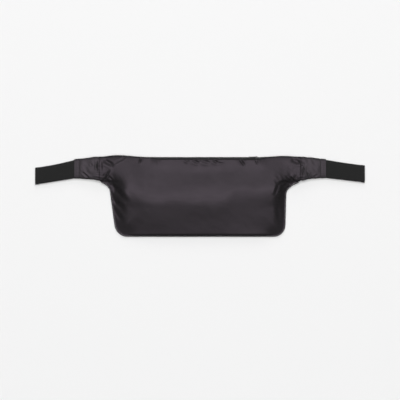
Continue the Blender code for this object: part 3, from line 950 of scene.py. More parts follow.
def fill_outline(loop: np.ndarray, step: float) -> tuple[np.ndarray, list]:
    """Even triangles over an outline.

    Args:
        loop: Closed outline, counterclockwise.
        step: Length of a triangle's side.

    Returns:
        Plan points with the outline's first, and the triangles.
    """
    low, high = loop.min(0), loop.max(0)
    rows = np.arange(low[1] + step, high[1], step * math.sqrt(0.75))
    grid = []
    for k, y in enumerate(rows):
        xs = np.arange(low[0] + step * (1.0 + 0.5 * (k % 2)), high[0], step)
        grid.append(np.column_stack([xs, np.full(len(xs), y)]))
    spots = np.concatenate(grid)
    crossings = np.zeros(len(spots), int)
    for a, b in zip(loop, np.roll(loop, -1, axis=0)):
        spans = (a[1] > spots[:, 1]) != (b[1] > spots[:, 1])
        rise = b[1] - a[1] if b[1] != a[1] else 1e-9
        crossings += spans & (spots[:, 0] < a[0] + (spots[:, 1] - a[1]) * (b[0] - a[0]) / rise)
    spots = spots[crossings % 2 == 1]
    spots = spots[edge_distance(spots, loop) > 0.55 * step]
    corners = [Vector(p) for p in np.vstack([loop, spots])]
    made = geometry.delaunay_2d_cdt(corners, [], [list(range(len(loop)))], 1, 1e-7)
    return np.array([tuple(p) for p in made[0]]), [tuple(face) for face in made[2]]


def gathers(around: np.ndarray) -> np.ndarray:
    """Uneven gathers of the cloth round a sleeve root, -1 to 1.

    Args:
        around: Share of the way round the root.

    Returns:
        How far each place stands out.
    """
    turn = FULL_TURN * around
    fine = np.cos(17.0 * turn + 2.4 * np.sin(3.0 * turn))
    coarse = np.cos(11.0 * turn + 1.7 * np.sin(2.0 * turn))
    return 0.5 * (fine + coarse) * (0.75 + 0.35 * np.sin(5.0 * turn + 1.0))


def root_pinch(out: np.ndarray) -> np.ndarray:
    """How much the root elastic pulls the cloth in at a distance from the middle of the bag, 0 to 1."""
    return np.exp(-(((out - PINCH_AT) / PINCH_WIDTH) ** 2))


@dataclass(frozen=True)
class Crease:
    """One fold in the cloth: a valley with a soft lip on both sides."""

    start: tuple[float, float]
    end: tuple[float, float]
    width: float
    depth: float
    lip: float = 0.45

    def lift(self, x: np.ndarray, y: np.ndarray) -> np.ndarray:
        """Height that the fold adds at plan points."""
        a, b = np.array(self.start), np.array(self.end)
        along = b - a
        length = float(np.linalg.norm(along))
        along = along / length
        px, py = x - a[0], y - a[1]
        run = (px * along[0] + py * along[1]) / length
        off = (py * along[0] - px * along[1]) / self.width
        fade = ease(1.0 - np.abs(run - 0.5) * 2.0 + 0.35) * (np.abs(run - 0.5) < 0.675)
        lips = np.exp(-((off - 1.9) ** 2)) + np.exp(-((off + 1.9) ** 2))
        return self.depth * fade * (self.lip * lips - np.exp(-(off**2)))


# ---------------------------------------------------------------- the outer bag


@dataclass
class OuterBag:
    """Front and back panel of satin nylon, the piping between them and their stitching.

    The front rises from its seams to a ridge that runs across it and dips in the middle, with a
    slope down to each side. Each roll is the share of the height that is lost where the cloth turns
    down into a seam, and the width of that turn.
    """

    finishes: Finishes
    trees: Trees
    step: float = 0.0032
    cloth: float = 0.0009
    ridge: float = 0.0580
    ridge_y: float = 0.0220
    ridge_round: float = 0.16
    ridge_dip: float = 0.0340
    ridge_wave: float = 0.0030
    ridge_rate: float = 47.0
    dip_from: float = -0.2850
    dip_to: float = 0.1500
    dip_ends: tuple[float, float] = (0.0700, 0.0900)
    upper_roll: tuple[float, float] = (0.16, 0.0060)
    lower_roll: tuple[float, float] = (0.30, 0.0080)
    fullness: float = 0.0020
    left_slope: float = 0.0500
    right_slope: float = 0.0360
    shoulders: tuple[float, float] = (3.0, 10.0)
    shoulders_from: float = -0.0500
    shoulders_over: float = 0.0900
    root_from: float = 0.2850
    back_root_from: float = 0.3600
    back_roll: float = 0.0400
    pucker_pitch: float = 0.0130
    pucker_depth: float = 0.0011
    pucker_reach: float = 0.0110
    pucker_end: float = 0.3000
    loose_height: float = 0.0006
    crinkle_height: float = 0.0001
    armpit_height: float = 0.0011
    armpit_reach: float = 0.0550
    seam_fade: float = 0.0090
    gather_reach: float = 0.0100
    piping_radius: float = 0.0016
    stitches: StitchRow = StitchRow(0.0034, 0.0026, 0.0007)
    stitch_inset: float = 0.0050
    stitch_lift: float = 0.0003
    routes: list[np.ndarray] = field(init=False)

    CREASES = (
        # from the left sleeve root into the body
        Crease((-0.384, 0.143), (-0.346, 0.122), 0.0075, 0.0062, 0.25),
        Crease((-0.344, 0.129), (-0.304, 0.150), 0.0034, 0.0020),
        Crease((-0.3945, 0.139), (-0.3940, 0.102), 0.0030, 0.0030, 0.25),
        Crease((-0.384, 0.060), (-0.362, 0.102), 0.0032, 0.0044),
        Crease((-0.388, 0.078), (-0.373, 0.095), 0.0026, 0.0022),
        Crease((-0.364, 0.078), (-0.348, 0.062), 0.0030, 0.0024),
        # folds that fan out of the left armpit
        Crease((-0.360, 0.050), (-0.290, -0.022), 0.0090, 0.0042),
        Crease((-0.350, -0.014), (-0.306, -0.052), 0.0080, 0.0034),
        Crease((-0.344, -0.056), (-0.312, -0.098), 0.0080, 0.0028),
        # puckers along the top edge
        Crease((-0.306, 0.150), (-0.296, 0.160), 0.0034, 0.0020),
        Crease((-0.243, 0.132), (-0.234, 0.150), 0.0034, 0.0036),
        Crease((-0.158, 0.150), (-0.152, 0.144), 0.0034, 0.0024),
        Crease((-0.060, 0.148), (-0.044, 0.136), 0.0040, 0.0032),
        Crease((-0.030, 0.142), (-0.004, 0.132), 0.0050, 0.0034),
        Crease((0.002, 0.142), (0.038, 0.134), 0.0060, 0.0034),
        Crease((0.052, 0.143), (0.070, 0.133), 0.0050, 0.0040),
        Crease((0.070, 0.132), (0.094, 0.129), 0.0032, 0.0018),
        Crease((0.156, 0.150), (0.177, 0.123), 0.0046, 0.0046),
        Crease((0.222, 0.146), (0.230, 0.128), 0.0038, 0.0028),
        # from the right sleeve root into the body
        Crease((0.366, 0.146), (0.400, 0.132), 0.0085, 0.0052, 0.10),
        Crease((0.394, 0.140), (0.418, 0.122), 0.0075, 0.0056, 0.10),
        Crease((0.406, 0.122), (0.399, 0.078), 0.0028, 0.0036),
        Crease((0.346, 0.074), (0.362, 0.058), 0.0030, 0.0032),
        Crease((0.357, 0.079), (0.384, 0.054), 0.0032, 0.0046),
        # dark fold round the right armpit and the puff under it
        Crease((0.298, 0.004), (0.312, 0.044), 0.0056, 0.0048),
        Crease((0.313, 0.047), (0.338, 0.058), 0.0052, 0.0044),
        Crease((0.338, 0.058), (0.362, 0.047), 0.0048, 0.0040),
        Crease((0.318, 0.018), (0.344, 0.034), 0.0080, -0.0026),
        Crease((0.308, -0.036), (0.318, -0.092), 0.0080, 0.0026),
    )

    def __post_init__(self) -> None:
        """Lays out both side seams once."""
        self.routes = [PLAN.side_route(left, ROUTE_STEP) for left in (True, False)]

    def front_height(self, x: np.ndarray, y: np.ndarray) -> np.ndarray:
        """Height of the front panel, before its small folds.

        Args:
            x: X of the plan points.
            y: Y of the plan points.

        Returns:
            Heights over the surface that the bag lies on.
        """
        spots = np.column_stack([x, y])
        from_left = distance_to(spots, self.routes[0])
        from_right = distance_to(spots, self.routes[1])
        top = PLAN.front_top(x)
        dip = ease((x - self.dip_from) / self.dip_ends[0]) * ease((self.dip_to - x) / self.dip_ends[1])
        ridge_y = self.ridge_y - self.ridge_dip * dip + self.ridge_wave * np.sin(x * self.ridge_rate)
        top_run, low_run = top - ridge_y, ridge_y - PLAN.bottom
        tent = np.where(
            y > ridge_y,
            self.profile(np.clip((y - ridge_y) / top_run, 0.0, 1.0), top_run, *self.upper_roll),
            self.profile(np.clip((ridge_y - y) / low_run, 0.0, 1.0), low_run, *self.lower_roll),
        )
        soft, firm = self.shoulders
        crisp = soft + (firm - soft) * ease((y - self.shoulders_from) / self.shoulders_over)
        sides = self.slope(from_left / self.left_slope, crisp)
        sides = sides * self.slope(from_right / self.right_slope, crisp)
        part = PLAN.parting(x) * math.cos(PLAN.lean)
        part = part * np.maximum(0.0, 1.0 - (top - y) / PLAN.band_settle) ** 2
        fuller = self.fullness * np.sin(FULL_TURN * np.clip((y - ridge_y) / top_run, 0.0, 1.0)) * dip
        body = part + (self.ridge - PLAN.seam_low) * tent * sides + fuller
        near_root = ease((np.abs(x) - self.root_from) / (PLAN.reach - self.root_from))
        root = PLAN.root_height(y, True) - 0.5 * PLAN.root_thick
        return PLAN.edge_height(x, y) + body + (root - body) * near_root

    def profile(self, share: np.ndarray, run: np.ndarray, roll: float, width: float) -> np.ndarray:
        """Height of the puffed front, from 1 at the ridge to 0 at the seam.

        Args:
            share: Share of the way from the ridge to the seam.
            run: Distance from the ridge to the seam.
            roll: Share of the height that is lost where the cloth rolls down into the seam.
            width: Width of that roll.

        Returns:
            Share of the ridge's height.
        """
        soft = self.ridge_round
        plain = (np.sqrt(share**2 + soft**2) - soft) / (math.sqrt(1.0 + soft**2) - soft)
        turn = np.clip(1.0 - (1.0 - share) * run / width, 0.0, 1.0)
        return 1.0 - (1.0 - roll) * plain - roll * turn**2.2

    @staticmethod
    def slope(t: np.ndarray, crisp: np.ndarray) -> np.ndarray:
        """Straight slope from 0 to 1 whose shoulder is rounder when crisp is lower."""
        return t / (1.0 + t**crisp) ** (1.0 / crisp)

    def folds(self, x: np.ndarray, y: np.ndarray, edge: np.ndarray) -> np.ndarray:
        """Height added by creases, puckers and loose cloth.

        Args:
            x: X of the plan points.
            y: Y of the plan points.
            edge: Their distance from the panel's outline.

        Returns:
            Heights to add.
        """
        total = np.zeros(len(x))
        for crease in self.CREASES:
            total += crease.lift(x, y)
        total += self.loose_height * ripple(x, y, length=0.130, seed=3)
        total += self.crinkle_height * ripple(x, y, length=0.040, seed=5)
        under_zip = PLAN.front_top(x) - y
        phase = math.pi * (x + 0.25 * under_zip) / self.pucker_pitch + 2.2 * np.sin(x * 60.0)
        puckers = np.abs(np.sin(phase)) ** 0.7 * np.exp(-under_zip / self.pucker_reach)
        total -= self.pucker_depth * puckers * (np.abs(x) < self.pucker_end)
        armpits = np.minimum(
            np.hypot(x + PLAN.left_side + 0.035, y - 0.030),
            np.hypot(x - PLAN.right_side - 0.025, y - 0.040),
        )
        near = np.exp(-((armpits / self.armpit_reach) ** 2))
        total += self.armpit_height * ripple(x, y, length=0.022, seed=11) * near
        return total * ease(edge / self.seam_fade) + self.root_gathers(x, y)

    def root_gathers(self, x: np.ndarray, y: np.ndarray) -> np.ndarray:
        """Gathers that run on from the cloth over the root elastic into the panel."""
        inside = np.minimum(y - PLAN.armpit_y, PLAN.root_top - y)
        waves = gathers(PLAN.share_round(y)) * np.exp(-(PLAN.reach - np.abs(x)) / self.gather_reach)
        return (GATHER_DEPTH * waves - PINCH_DEPTH * root_pinch(np.abs(x))) * ease(inside / 0.008)

    def build_front(self) -> bpy.types.Object:
        """Front panel with its creases."""
        loop = PLAN.loop(self.step, front=True)
        flat, faces = fill_outline(loop, self.step)
        x, y = flat.T
        z = self.front_height(x, y) + self.folds(x, y, edge_distance(flat, loop))
        z = np.maximum(z, PLAN.seam(y) * 0.6)
        piece = make_piece("front_panel", np.column_stack([x, y, z]), faces, self.finishes.nylon)
        return give_wall(piece, self.cloth)

    def back_height(self, x: np.ndarray, y: np.ndarray, edge: np.ndarray) -> np.ndarray:
        """Height of the back panel, which has come down flat a little way inside its seam."""
        seam = PLAN.edge_height(x, y) - 0.0004
        part = PLAN.parting(x) * math.cos(PLAN.lean)
        part = part * np.maximum(0.0, 1.0 - (PLAN.top(x) - y) / PLAN.band_fade) ** 2
        rolled = (seam - part) * (1.0 - ease(edge / self.back_roll)) ** 1.4
        near_root = ease((np.abs(x) - self.back_root_from) / (PLAN.reach - self.back_root_from))
        rolled = rolled + (PLAN.root_height(y, False) - rolled) * near_root
        loose = 0.0008 * (1.0 + ripple(x, y, length=0.060, seed=21))
        loose = loose + 0.0004 * (1.0 + ripple(x, y, length=0.021, seed=22))
        return self.cloth + np.maximum(0.0, rolled + loose * ease(edge / 0.02) * (1.0 - near_root))

    def build_back(self) -> bpy.types.Object:
        """Back panel."""
        step = 1.5 * self.step
        loop = PLAN.loop(step, front=False)
        flat, faces = fill_outline(loop, step)
        z = self.back_height(*flat.T, edge_distance(flat, loop))
        faces = [tuple(reversed(face)) for face in faces]
        piece = make_piece("back_panel", np.column_stack([flat, z]), faces, self.finishes.nylon)
        return give_wall(piece, self.cloth)

    def seam_route(self, out: float) -> np.ndarray:
        """Route along both side seams and the bottom seam.

        Args:
            out: Distance outside the seam, or inside it when negative.

        Returns:
            Points of the route, one row each.
        """
        left, right = self.routes[0][::-1], self.routes[1]
        across = np.linspace(left[-1][0], right[0][0], 140)[1:-1]
        low = np.column_stack([across, np.full(len(across), PLAN.bottom)])
        plan = np.vstack([left, low, right])
        along = np.gradient(plan, axis=0)
        along /= np.linalg.norm(along, axis=1)[:, None]
        plan = plan + out * np.column_stack([along[:, 1], -along[:, 0]])
        return np.column_stack([plan, PLAN.edge_height(*plan.T)])

    def build_piping(self) -> bpy.types.Object:
        """Covered cord in the seam."""
        radius = self.piping_radius
        route = self.seam_route(radius + 0.0006)
        route = route[route[:, 1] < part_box("seam_piping")[1].y - radius]
        piece = route_piece("seam_cord", route, self.finishes.piping)
        return self.trees.cord.run(piece, Radius=radius, Step=0.003, Finish=self.finishes.piping)

    def build_stitches(self) -> bpy.types.Object:
        """Topstitching that runs just inside the seam, on the front panel."""
        route = self.seam_route(-self.stitch_inset)
        x, y = route[:, 0], route[:, 1]
        edge = edge_distance(route[:, :2], PLAN.loop(ROUTE_STEP, front=True))
        route[:, 2] = self.front_height(x, y) + self.folds(x, y, edge) + self.stitch_lift
        return self.stitches.sew("seam_stitches", route[4:-4], self.finishes, self.trees)

    def build(self) -> None:
        """Builds the bag and puts it on its body."""
        front, back = self.build_front(), self.build_back()
        piping, stitches = self.build_piping(), self.build_stitches()
        for piece, node, slot in (
            (front, "outer_front_panel", "outer_nylon"),
            (back, "outer_back_panel", "outer_nylon"),
            (piping, "seam_piping", "piping"),
        ):
            dress(piece, "bag", node)
        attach(stitches, "bag")


# ---------------------------------------------------------------- the lining bag


@dataclass
class LiningBag:
    """The bag inside the bag: two panels of matt lining."""

    outer: OuterBag
    step: float = 0.0055
    cloth: float = 0.0008
    inset: float = 0.0050
    zip_inset: float = 0.0240
    air: float = 0.0042
    floor_air: float = 0.0020
    end_gap: float = 0.0006
    front_roll: float = 0.0120
    back_roll: float = 0.0350

    def panel(self, name: str, front: bool) -> bpy.types.Object:
        """One lining panel.

        Args:
            name: Name of the piece.
            front: True for the front panel.

        Returns:
            The piece.
        """
        loop = PLAN.loop(self.step, front, self.inset, self.zip_inset)
        loop[:, 0] = np.clip(loop[:, 0], self.end_gap - PLAN.reach, PLAN.reach - self.end_gap)
        flat, faces = fill_outline(loop, self.step)
        x, y = flat.T
        edge = edge_distance(flat, loop)
        outer_edge = edge_distance(flat, PLAN.loop(self.step, front))
        seam = PLAN.seam(np.where(y > 0.0, y + self.zip_inset, y))
        part = PLAN.parting(x) * math.cos(PLAN.lean) * np.exp(-edge / self.front_roll) * (y > 0.1)
        if front:
            roof = self.outer.front_height(x, y) + self.outer.folds(x, y, outer_edge) - self.air
            z = np.maximum(seam + part, roof) - 0.0006
            z = z + (seam + part - z) * (1.0 - ease(edge / self.front_roll))
        else:
            floor = self.outer.back_height(x, y, outer_edge) + self.floor_air
            z = floor + (seam - part - floor) * (1.0 - ease(edge / self.back_roll)) ** 2
            faces = [tuple(reversed(face)) for face in faces]
        piece = make_piece(name, np.column_stack([x, y, z]), faces, self.outer.finishes.lining)
        return give_wall(piece, self.cloth)

    def build(self) -> None:
        """Builds both panels."""
        for name, node, front in (
            ("lining_front", "inner_front_panel", True),
            ("lining_back", "inner_back_panel", False),
        ):
            piece = self.panel(name, front)
            dress(piece, "bag", node)


# ---------------------------------------------------------------- sleeves and cuffs


Swell = Callable[[np.ndarray, float], np.ndarray]


def bead(outs: np.ndarray, at: float, width: float, height: float) -> np.ndarray:
    """Rounded bump at one place along an arm.

    Args:
        outs: Distances from the middle of the bag.
        at: Where the bump is.
        width: Its half width.
        height: Its height.

    Returns:
        The height at each distance.
    """
    return height * np.exp(-(((outs - at) / width) ** 2))


@dataclass(frozen=True)
class Arm:
    """One sleeve with its root gathers, end band, ribbed cuff and hem."""

    name: str
    side: float
    joint_at: float
    end_at: float
    joint_edges: tuple[float, float]
    end_edges: tuple[float, float]
    sag: float
    creases: tuple[Crease, ...]
    root_at: float = 0.4003
    elastic_width: float = 0.0080
    band_width: float = 0.0200
    hem_width: float = 0.0140
    joint_thick: float = 0.0180
    end_thick: float = 0.0150
    sleeve_cloth: float = 0.0009
    cuff_wall: float = 0.0020
    bend_length: float = 0.0460
    cuff_step: float = 0.0024
    ground_gap: float = 0.0002
    casing_wall: float = 0.0008
    tuck_length: float = 0.0030
    tuck_depth: float = 0.0012
    elastic_wall: float = 0.0016
    elastic_inset: float = 0.0062
    lining_wall: float = 0.0008
    lining_inset: float = 0.0052
    band_wall: float = 0.0016
    hem_wall: float = 0.0026
    ribs: float = 84.0
    cuff_rib: float = 0.0007
    hem_rib: float = 0.00045
    stitches: StitchRow = StitchRow(0.0032, 0.0024, 0.0006)

    def edges(self, out: float) -> tuple[float, float, float]:
        """Low and high Y and the thickness of the arm.

        Args:
            out: Distance from the middle of the bag.

        Returns:
            Low Y, high Y and thickness.
        """
        if out <= self.joint_at:
            t = (out - PLAN.reach) / (self.joint_at - PLAN.reach)
            hollow = PLAN.left_hollow if self.side < 0.0 else PLAN.right_hollow
            low = hollow.level(out) + (self.joint_edges[0] - hollow.foot - hollow.high) * t
            high = PLAN.root_top + (self.joint_edges[1] - PLAN.root_top) * t
            return low, high, PLAN.root_thick + (self.joint_thick - PLAN.root_thick) * t
        t = (out - self.joint_at) / (self.end_at - self.joint_at)
        low = self.joint_edges[0] + (self.end_edges[0] - self.joint_edges[0]) * t
        high = self.joint_edges[1] + (self.end_edges[1] - self.joint_edges[1]) * t
        high -= self.sag * 4.0 * t * (1.0 - t) + self.cuff_step * (1.0 - t)
        return low, high, self.joint_thick + (self.end_thick - self.joint_thick) * t

    def ring(self, out: float, inset: float, count: int) -> np.ndarray:
        """Evenly spaced points round the flattened arm.

        Args:
            out: Distance from the middle of the bag.
            inset: How far inside the arm's outside.
            count: Number of points.

        Returns:
            Points, one row each.
        """
        low, high, thick = self.edges(out)
        angle = np.linspace(0.0, FULL_TURN, 721)
        across, up = np.cos(angle), np.sin(angle)
        power = PLAN.root_power
        y = 0.5 * (low + high) + (0.5 * (high - low) - inset) * np.sign(across) * np.abs(across) ** power
        z = 0.5 * thick + (0.5 * thick - inset) * np.sign(up) * np.abs(up) ** power
        run = length_along(y, z)
        even = np.linspace(0.0, run[-1], count, endpoint=False)
        x = np.full(count, self.side * out)
        return np.column_stack([x, np.interp(even, run, y), np.interp(even, run, z)])

    def tube(
        self,
        name: str,
        outs: np.ndarray,
        insets: np.ndarray,
        wall: float,
        count: int,
        finish: bpy.types.Material,
        swell: Swell | None = None,
    ) -> bpy.types.Object:
        """Open tube along the arm with an inner and an outer wall.

        Args:
            name: Name of the piece.
            outs: Distances from the middle of the bag, one for each ring.
            insets: How far each ring lies inside the arm's outside.
            wall: Thickness.
            count: Points round each ring.
            finish: Material.
            swell: Function of a ring's points and its distance that gives how far each point
                moves outwards.

        Returns:
            The piece, with the share of the way round stored in it.
        """
        outer, inner = [], []
        for out, inset in zip(outs.tolist(), insets.tolist()):
            ring = self.ring(out, inset, count)
            core = self.ring(out, inset + wall, count)
            if swell is not None:
                move = swell(ring, out)[:, None]
                away = ring - core
                away /= np.maximum(np.linalg.norm(away, axis=1), 1e-9)[:, None]
                ring, core = ring + away * move, core + away * move
            ring[:, 2] = np.maximum(ring[:, 2], self.ground_gap)
            core[:, 2] = np.maximum(core[:, 2], self.ground_gap + 0.7 * wall)
            outer.append(ring)
            inner.append(core)
        rows, total = len(outer), 2 * len(outer)
        points = np.vstack(outer + inner[::-1])
        piece = face_out(make_piece(name, points, strip_faces(total, count, closed=True), finish))
        around = np.tile(np.arange(count) / count, total).astype(np.float32)
        share = np.zeros(len(points), np.float32)
        ends = np.minimum(np.arange(rows), np.arange(rows)[::-1])
        share[: rows * count] = np.repeat(np.clip(ends / 2.0, 0.0, 1.0), count)
        for label, values in (("around", around), ("rib_share", share)):
            piece.data.attributes.new(label, "FLOAT", "POINT").data.foreach_set("value", values)
        piece.data.set_sharp_from_angle(angle=SHARP_EDGE)
        return piece

    def crease_lift(self, ring: np.ndarray, out: float) -> np.ndarray:
        """Height that the arm's creases add to the upper side of a ring."""
        upper = ring[:, 2] > 0.5 * self.edges(out)[2]
        total = np.zeros(len(ring))
        for crease in self.creases:
            total += np.where(upper, crease.lift(ring[:, 0], ring[:, 1]), 0.0)
        return total

    @staticmethod
    def tucks(ring: np.ndarray) -> np.ndarray:
        """Uneven fine tucks round the end of the sleeve, -1 to 1."""
        turn = FULL_TURN * np.arange(len(ring)) / len(ring)
        return np.cos(23.0 * turn + 1.5 * np.sin(2.0 * turn))

    def sleeve_swell(self, ring: np.ndarray, out: float) -> np.ndarray:
        """How the loose sleeve cloth stands in and out of its plain tube.

        Args:
            ring: Points of one ring.
            out: Its distance from the middle of the bag.

        Returns:
            Outward move of each point.
        """
        x, y, z = ring.T
        upper = z > 0.5 * self.edges(out)[2]
        from_root = out - self.root_at - self.elastic_width
        to_band = self.joint_at - self.band_width - out
        around = np.arange(len(ring)) / len(ring)
        move = GATHER_DEPTH * gathers(around) * math.exp(-max(0.0, from_root) / 0.011)
        move += 0.00025 * self.tucks(ring) * math.exp(-max(0.0, to_band) / 0.010)
        move += 0.0008 * ripple(x, y + 0.3 * upper, length=0.050, seed=31)
        move += 0.0003 * ripple(x, y, length=0.019, seed=33)
        swell = 0.0005 * math.sin(math.pi * min(1.0, max(0.0, from_root / 0.075)))
        return (move + self.crease_lift(ring, out) + swell) * min(1.0, (max(0.0, to_band) + 0.004) / 0.012)

    def casing_swell(self, ring: np.ndarray, out: float) -> np.ndarray:
        """Ruffles of the cloth that covers the root elastic."""
        ruffles = GATHER_DEPTH * gathers(np.arange(len(ring)) / len(ring))
        return ruffles - PINCH_DEPTH * root_pinch(np.array(out)) + self.crease_lift(ring, out)

    @staticmethod
    def lining_swell(ring: np.ndarray, _: float) -> np.ndarray:
        """Loose hang of the sleeve lining."""
        return 0.0006 * ripple(ring[:, 0], ring[:, 1], length=0.03, seed=7)

    def band_swell(self, ring: np.ndarray, out: float) -> np.ndarray:
        """Small puckers of the end band between its two rows of stitches."""
        share = math.sin(math.pi * np.clip((out - self.joint_at + self.band_width) / self.band_width, 0, 1))
        return 0.00018 * share * self.tucks(ring) + 0.0004 * share

    def build_sleeve(self, finishes: Finishes) -> list[bpy.types.Object]:
        """Gathered root, root elastic, sleeve and sleeve lining.

        Args:
            finishes: The materials.

        Returns:
            The four pieces.
        """
        low, high = self.root_at, self.root_at + self.elastic_width
        outs = np.linspace(low - self.tuck_length, high + self.tuck_length, 29)
        tucked = np.where((outs < low) | (outs > high), self.tuck_depth, 0.0)
        casing = self.tube(
            f"{self.name}_root_gathers", outs, tucked, self.casing_wall, 200, finishes.nylon,
            self.casing_swell,
        )
        outs = np.linspace(low + 0.0008, high - 0.0008, 6)
        insets = np.full(len(outs), self.elastic_inset)
        elastic = self.tube(
            f"{self.name}_root_band", outs, insets, self.elastic_wall, 160, finishes.elastic
        )
        band = self.joint_at - self.band_width
        outs = np.linspace(high + 0.0002, band + 0.0015, 42)
        insets = np.where(outs > band - 0.002, 0.0010, 0.0)
        # The sleeve uses the lighter copy of the nylon: painted highlight.
        sleeve = self.tube(
            f"{self.name}_sleeve", outs, insets, self.sleeve_cloth, 220, finishes.nylon_painted_lighter,
            self.sleeve_swell,
        )
        outs = np.linspace(high + 0.0008, band + 0.0015, 22)
        insets = np.full(len(outs), self.lining_inset)
        lining = self.tube(
            f"{self.name}_lining", outs, insets, self.lining_wall, 120, finishes.lining,
            self.lining_swell,
        )
        return [casing, elastic, sleeve, lining]

    def build_cuff(self, finishes: Finishes, trees: Trees) -> list[bpy.types.Object]:
        """End band, ribbed cuff, hem and their stitches.

        Args:
            finishes: The materials.
            trees: The node trees.

        Returns:
            The band, the cuff, the hem and then each row of stitches.
        """
        start, end = self.joint_at - self.band_width, self.joint_at
        outs = np.linspace(start, end, 15)
        lips = bead(outs, end - 0.0012, 0.0016, 0.0009) + bead(outs, start + 0.0010, 0.0015, 0.0003)
        # The end band uses the lighter copy of the nylon: painted highlight.
        band = self.tube(
            f"{self.name}_end_band", outs, -lips, self.band_wall, 180, finishes.nylon_painted_lighter, self.band_swell
        )
        hem_at = self.end_at - self.hem_width
        outs = np.linspace(self.joint_at - 0.0035, hem_at + 0.0006, 44)
        insets = np.where(outs < self.joint_at + 0.0004, 0.0019, 0.0006)
        around = round(6 * self.ribs)
        cuff = self.tube(f"{self.name}_ribbed_cuff", outs, insets, self.cuff_wall, around, finishes.elastic)
        cuff = trees.ribs.run(cuff, Ribs=self.ribs, Height=self.cuff_rib, Finish=finishes.elastic)
        outs = np.linspace(hem_at, self.end_at, 12)
        hollow = bead(outs, hem_at + 0.0105, 0.0012, 0.0005) + bead(outs, hem_at + 0.0020, 0.0010, 0.0004)
        hem = self.tube(f"{self.name}_hem", outs, hollow, self.hem_wall, around, finishes.elastic)
        hem = trees.ribs.run(hem, Ribs=self.ribs, Height=self.hem_rib, Finish=finishes.elastic)
        rows = []
        for label, out, lift in (
            ("inner", start + 0.0030, 0.0004), ("outer", end - 0.0042, 0.0004),
            ("hem", self.end_at - 0.0036, 0.0002), ("hem_edge", hem_at + 0.0022, 0.0002),
        ):
            ring = self.ring(out, -lift, 160)
            ring[:, 2] = np.maximum(ring[:, 2], 0.0005)
            route = np.vstack([ring, ring[:1]])
            rows.append(self.stitches.sew(f"{self.name}_{label}_stitches", route, finishes, trees))
        return [band, cuff, hem, *rows]

    def build(self, finishes: Finishes, trees: Trees) -> None:
        """Builds the arm and puts every piece on its body.

        Args:
            finishes: The materials.
            trees: The node trees.
        """
        body = f"{self.name}_sleeve"
        casing, elastic, sleeve, lining = self.build_sleeve(finishes)
        band, cuff, hem, *rows = self.build_cuff(finishes, trees)
        for piece in (sleeve, lining):
            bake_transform(piece)
        for piece in (casing, elastic):
            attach(piece, "bag")
        for piece in (band, cuff, hem, *rows):
            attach(piece, body)
        for piece, node in (
            (elastic, "root_elastic"), (sleeve, "outer_sleeve"), (lining, "sleeve_lining"),
            (band, "sleeve_end_band"), (cuff, "cuff"), (hem, "cuff_end_binding"),
        ):
            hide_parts(f"{self.name}_{node}")
        for piece, slot in (
            (casing, "outer_nylon"), (elastic, "ribbed_elastic"), (sleeve, "outer_nylon"),
            (lining, "lining_cloth"), (band, "outer_nylon"), (cuff, "ribbed_elastic"),
            (hem, "ribbed_elastic"),
        ):
            report(piece)


LEFT_CREASES = (
    Crease((-0.4125, 0.140), (-0.4110, 0.100), 0.0030, 0.0038),
    Crease((-0.4350, 0.130), (-0.4330, 0.120), 0.0034, 0.0012),
    Crease((-0.4700, 0.094), (-0.4440, 0.070), 0.0038, 0.0030),
)
RIGHT_CREASES = (
    Crease((0.394, 0.140), (0.418, 0.122), 0.0075, 0.0056, 0.10),
    Crease((0.4165, 0.120), (0.4130, 0.078), 0.0028, 0.0030),
    Crease((0.4290, 0.094), (0.4380, 0.072), 0.0034, 0.0026),
    Crease((0.4550, 0.076), (0.4700, 0.084), 0.0034, 0.0018),
)


# ---------------------------------------------------------------- zips


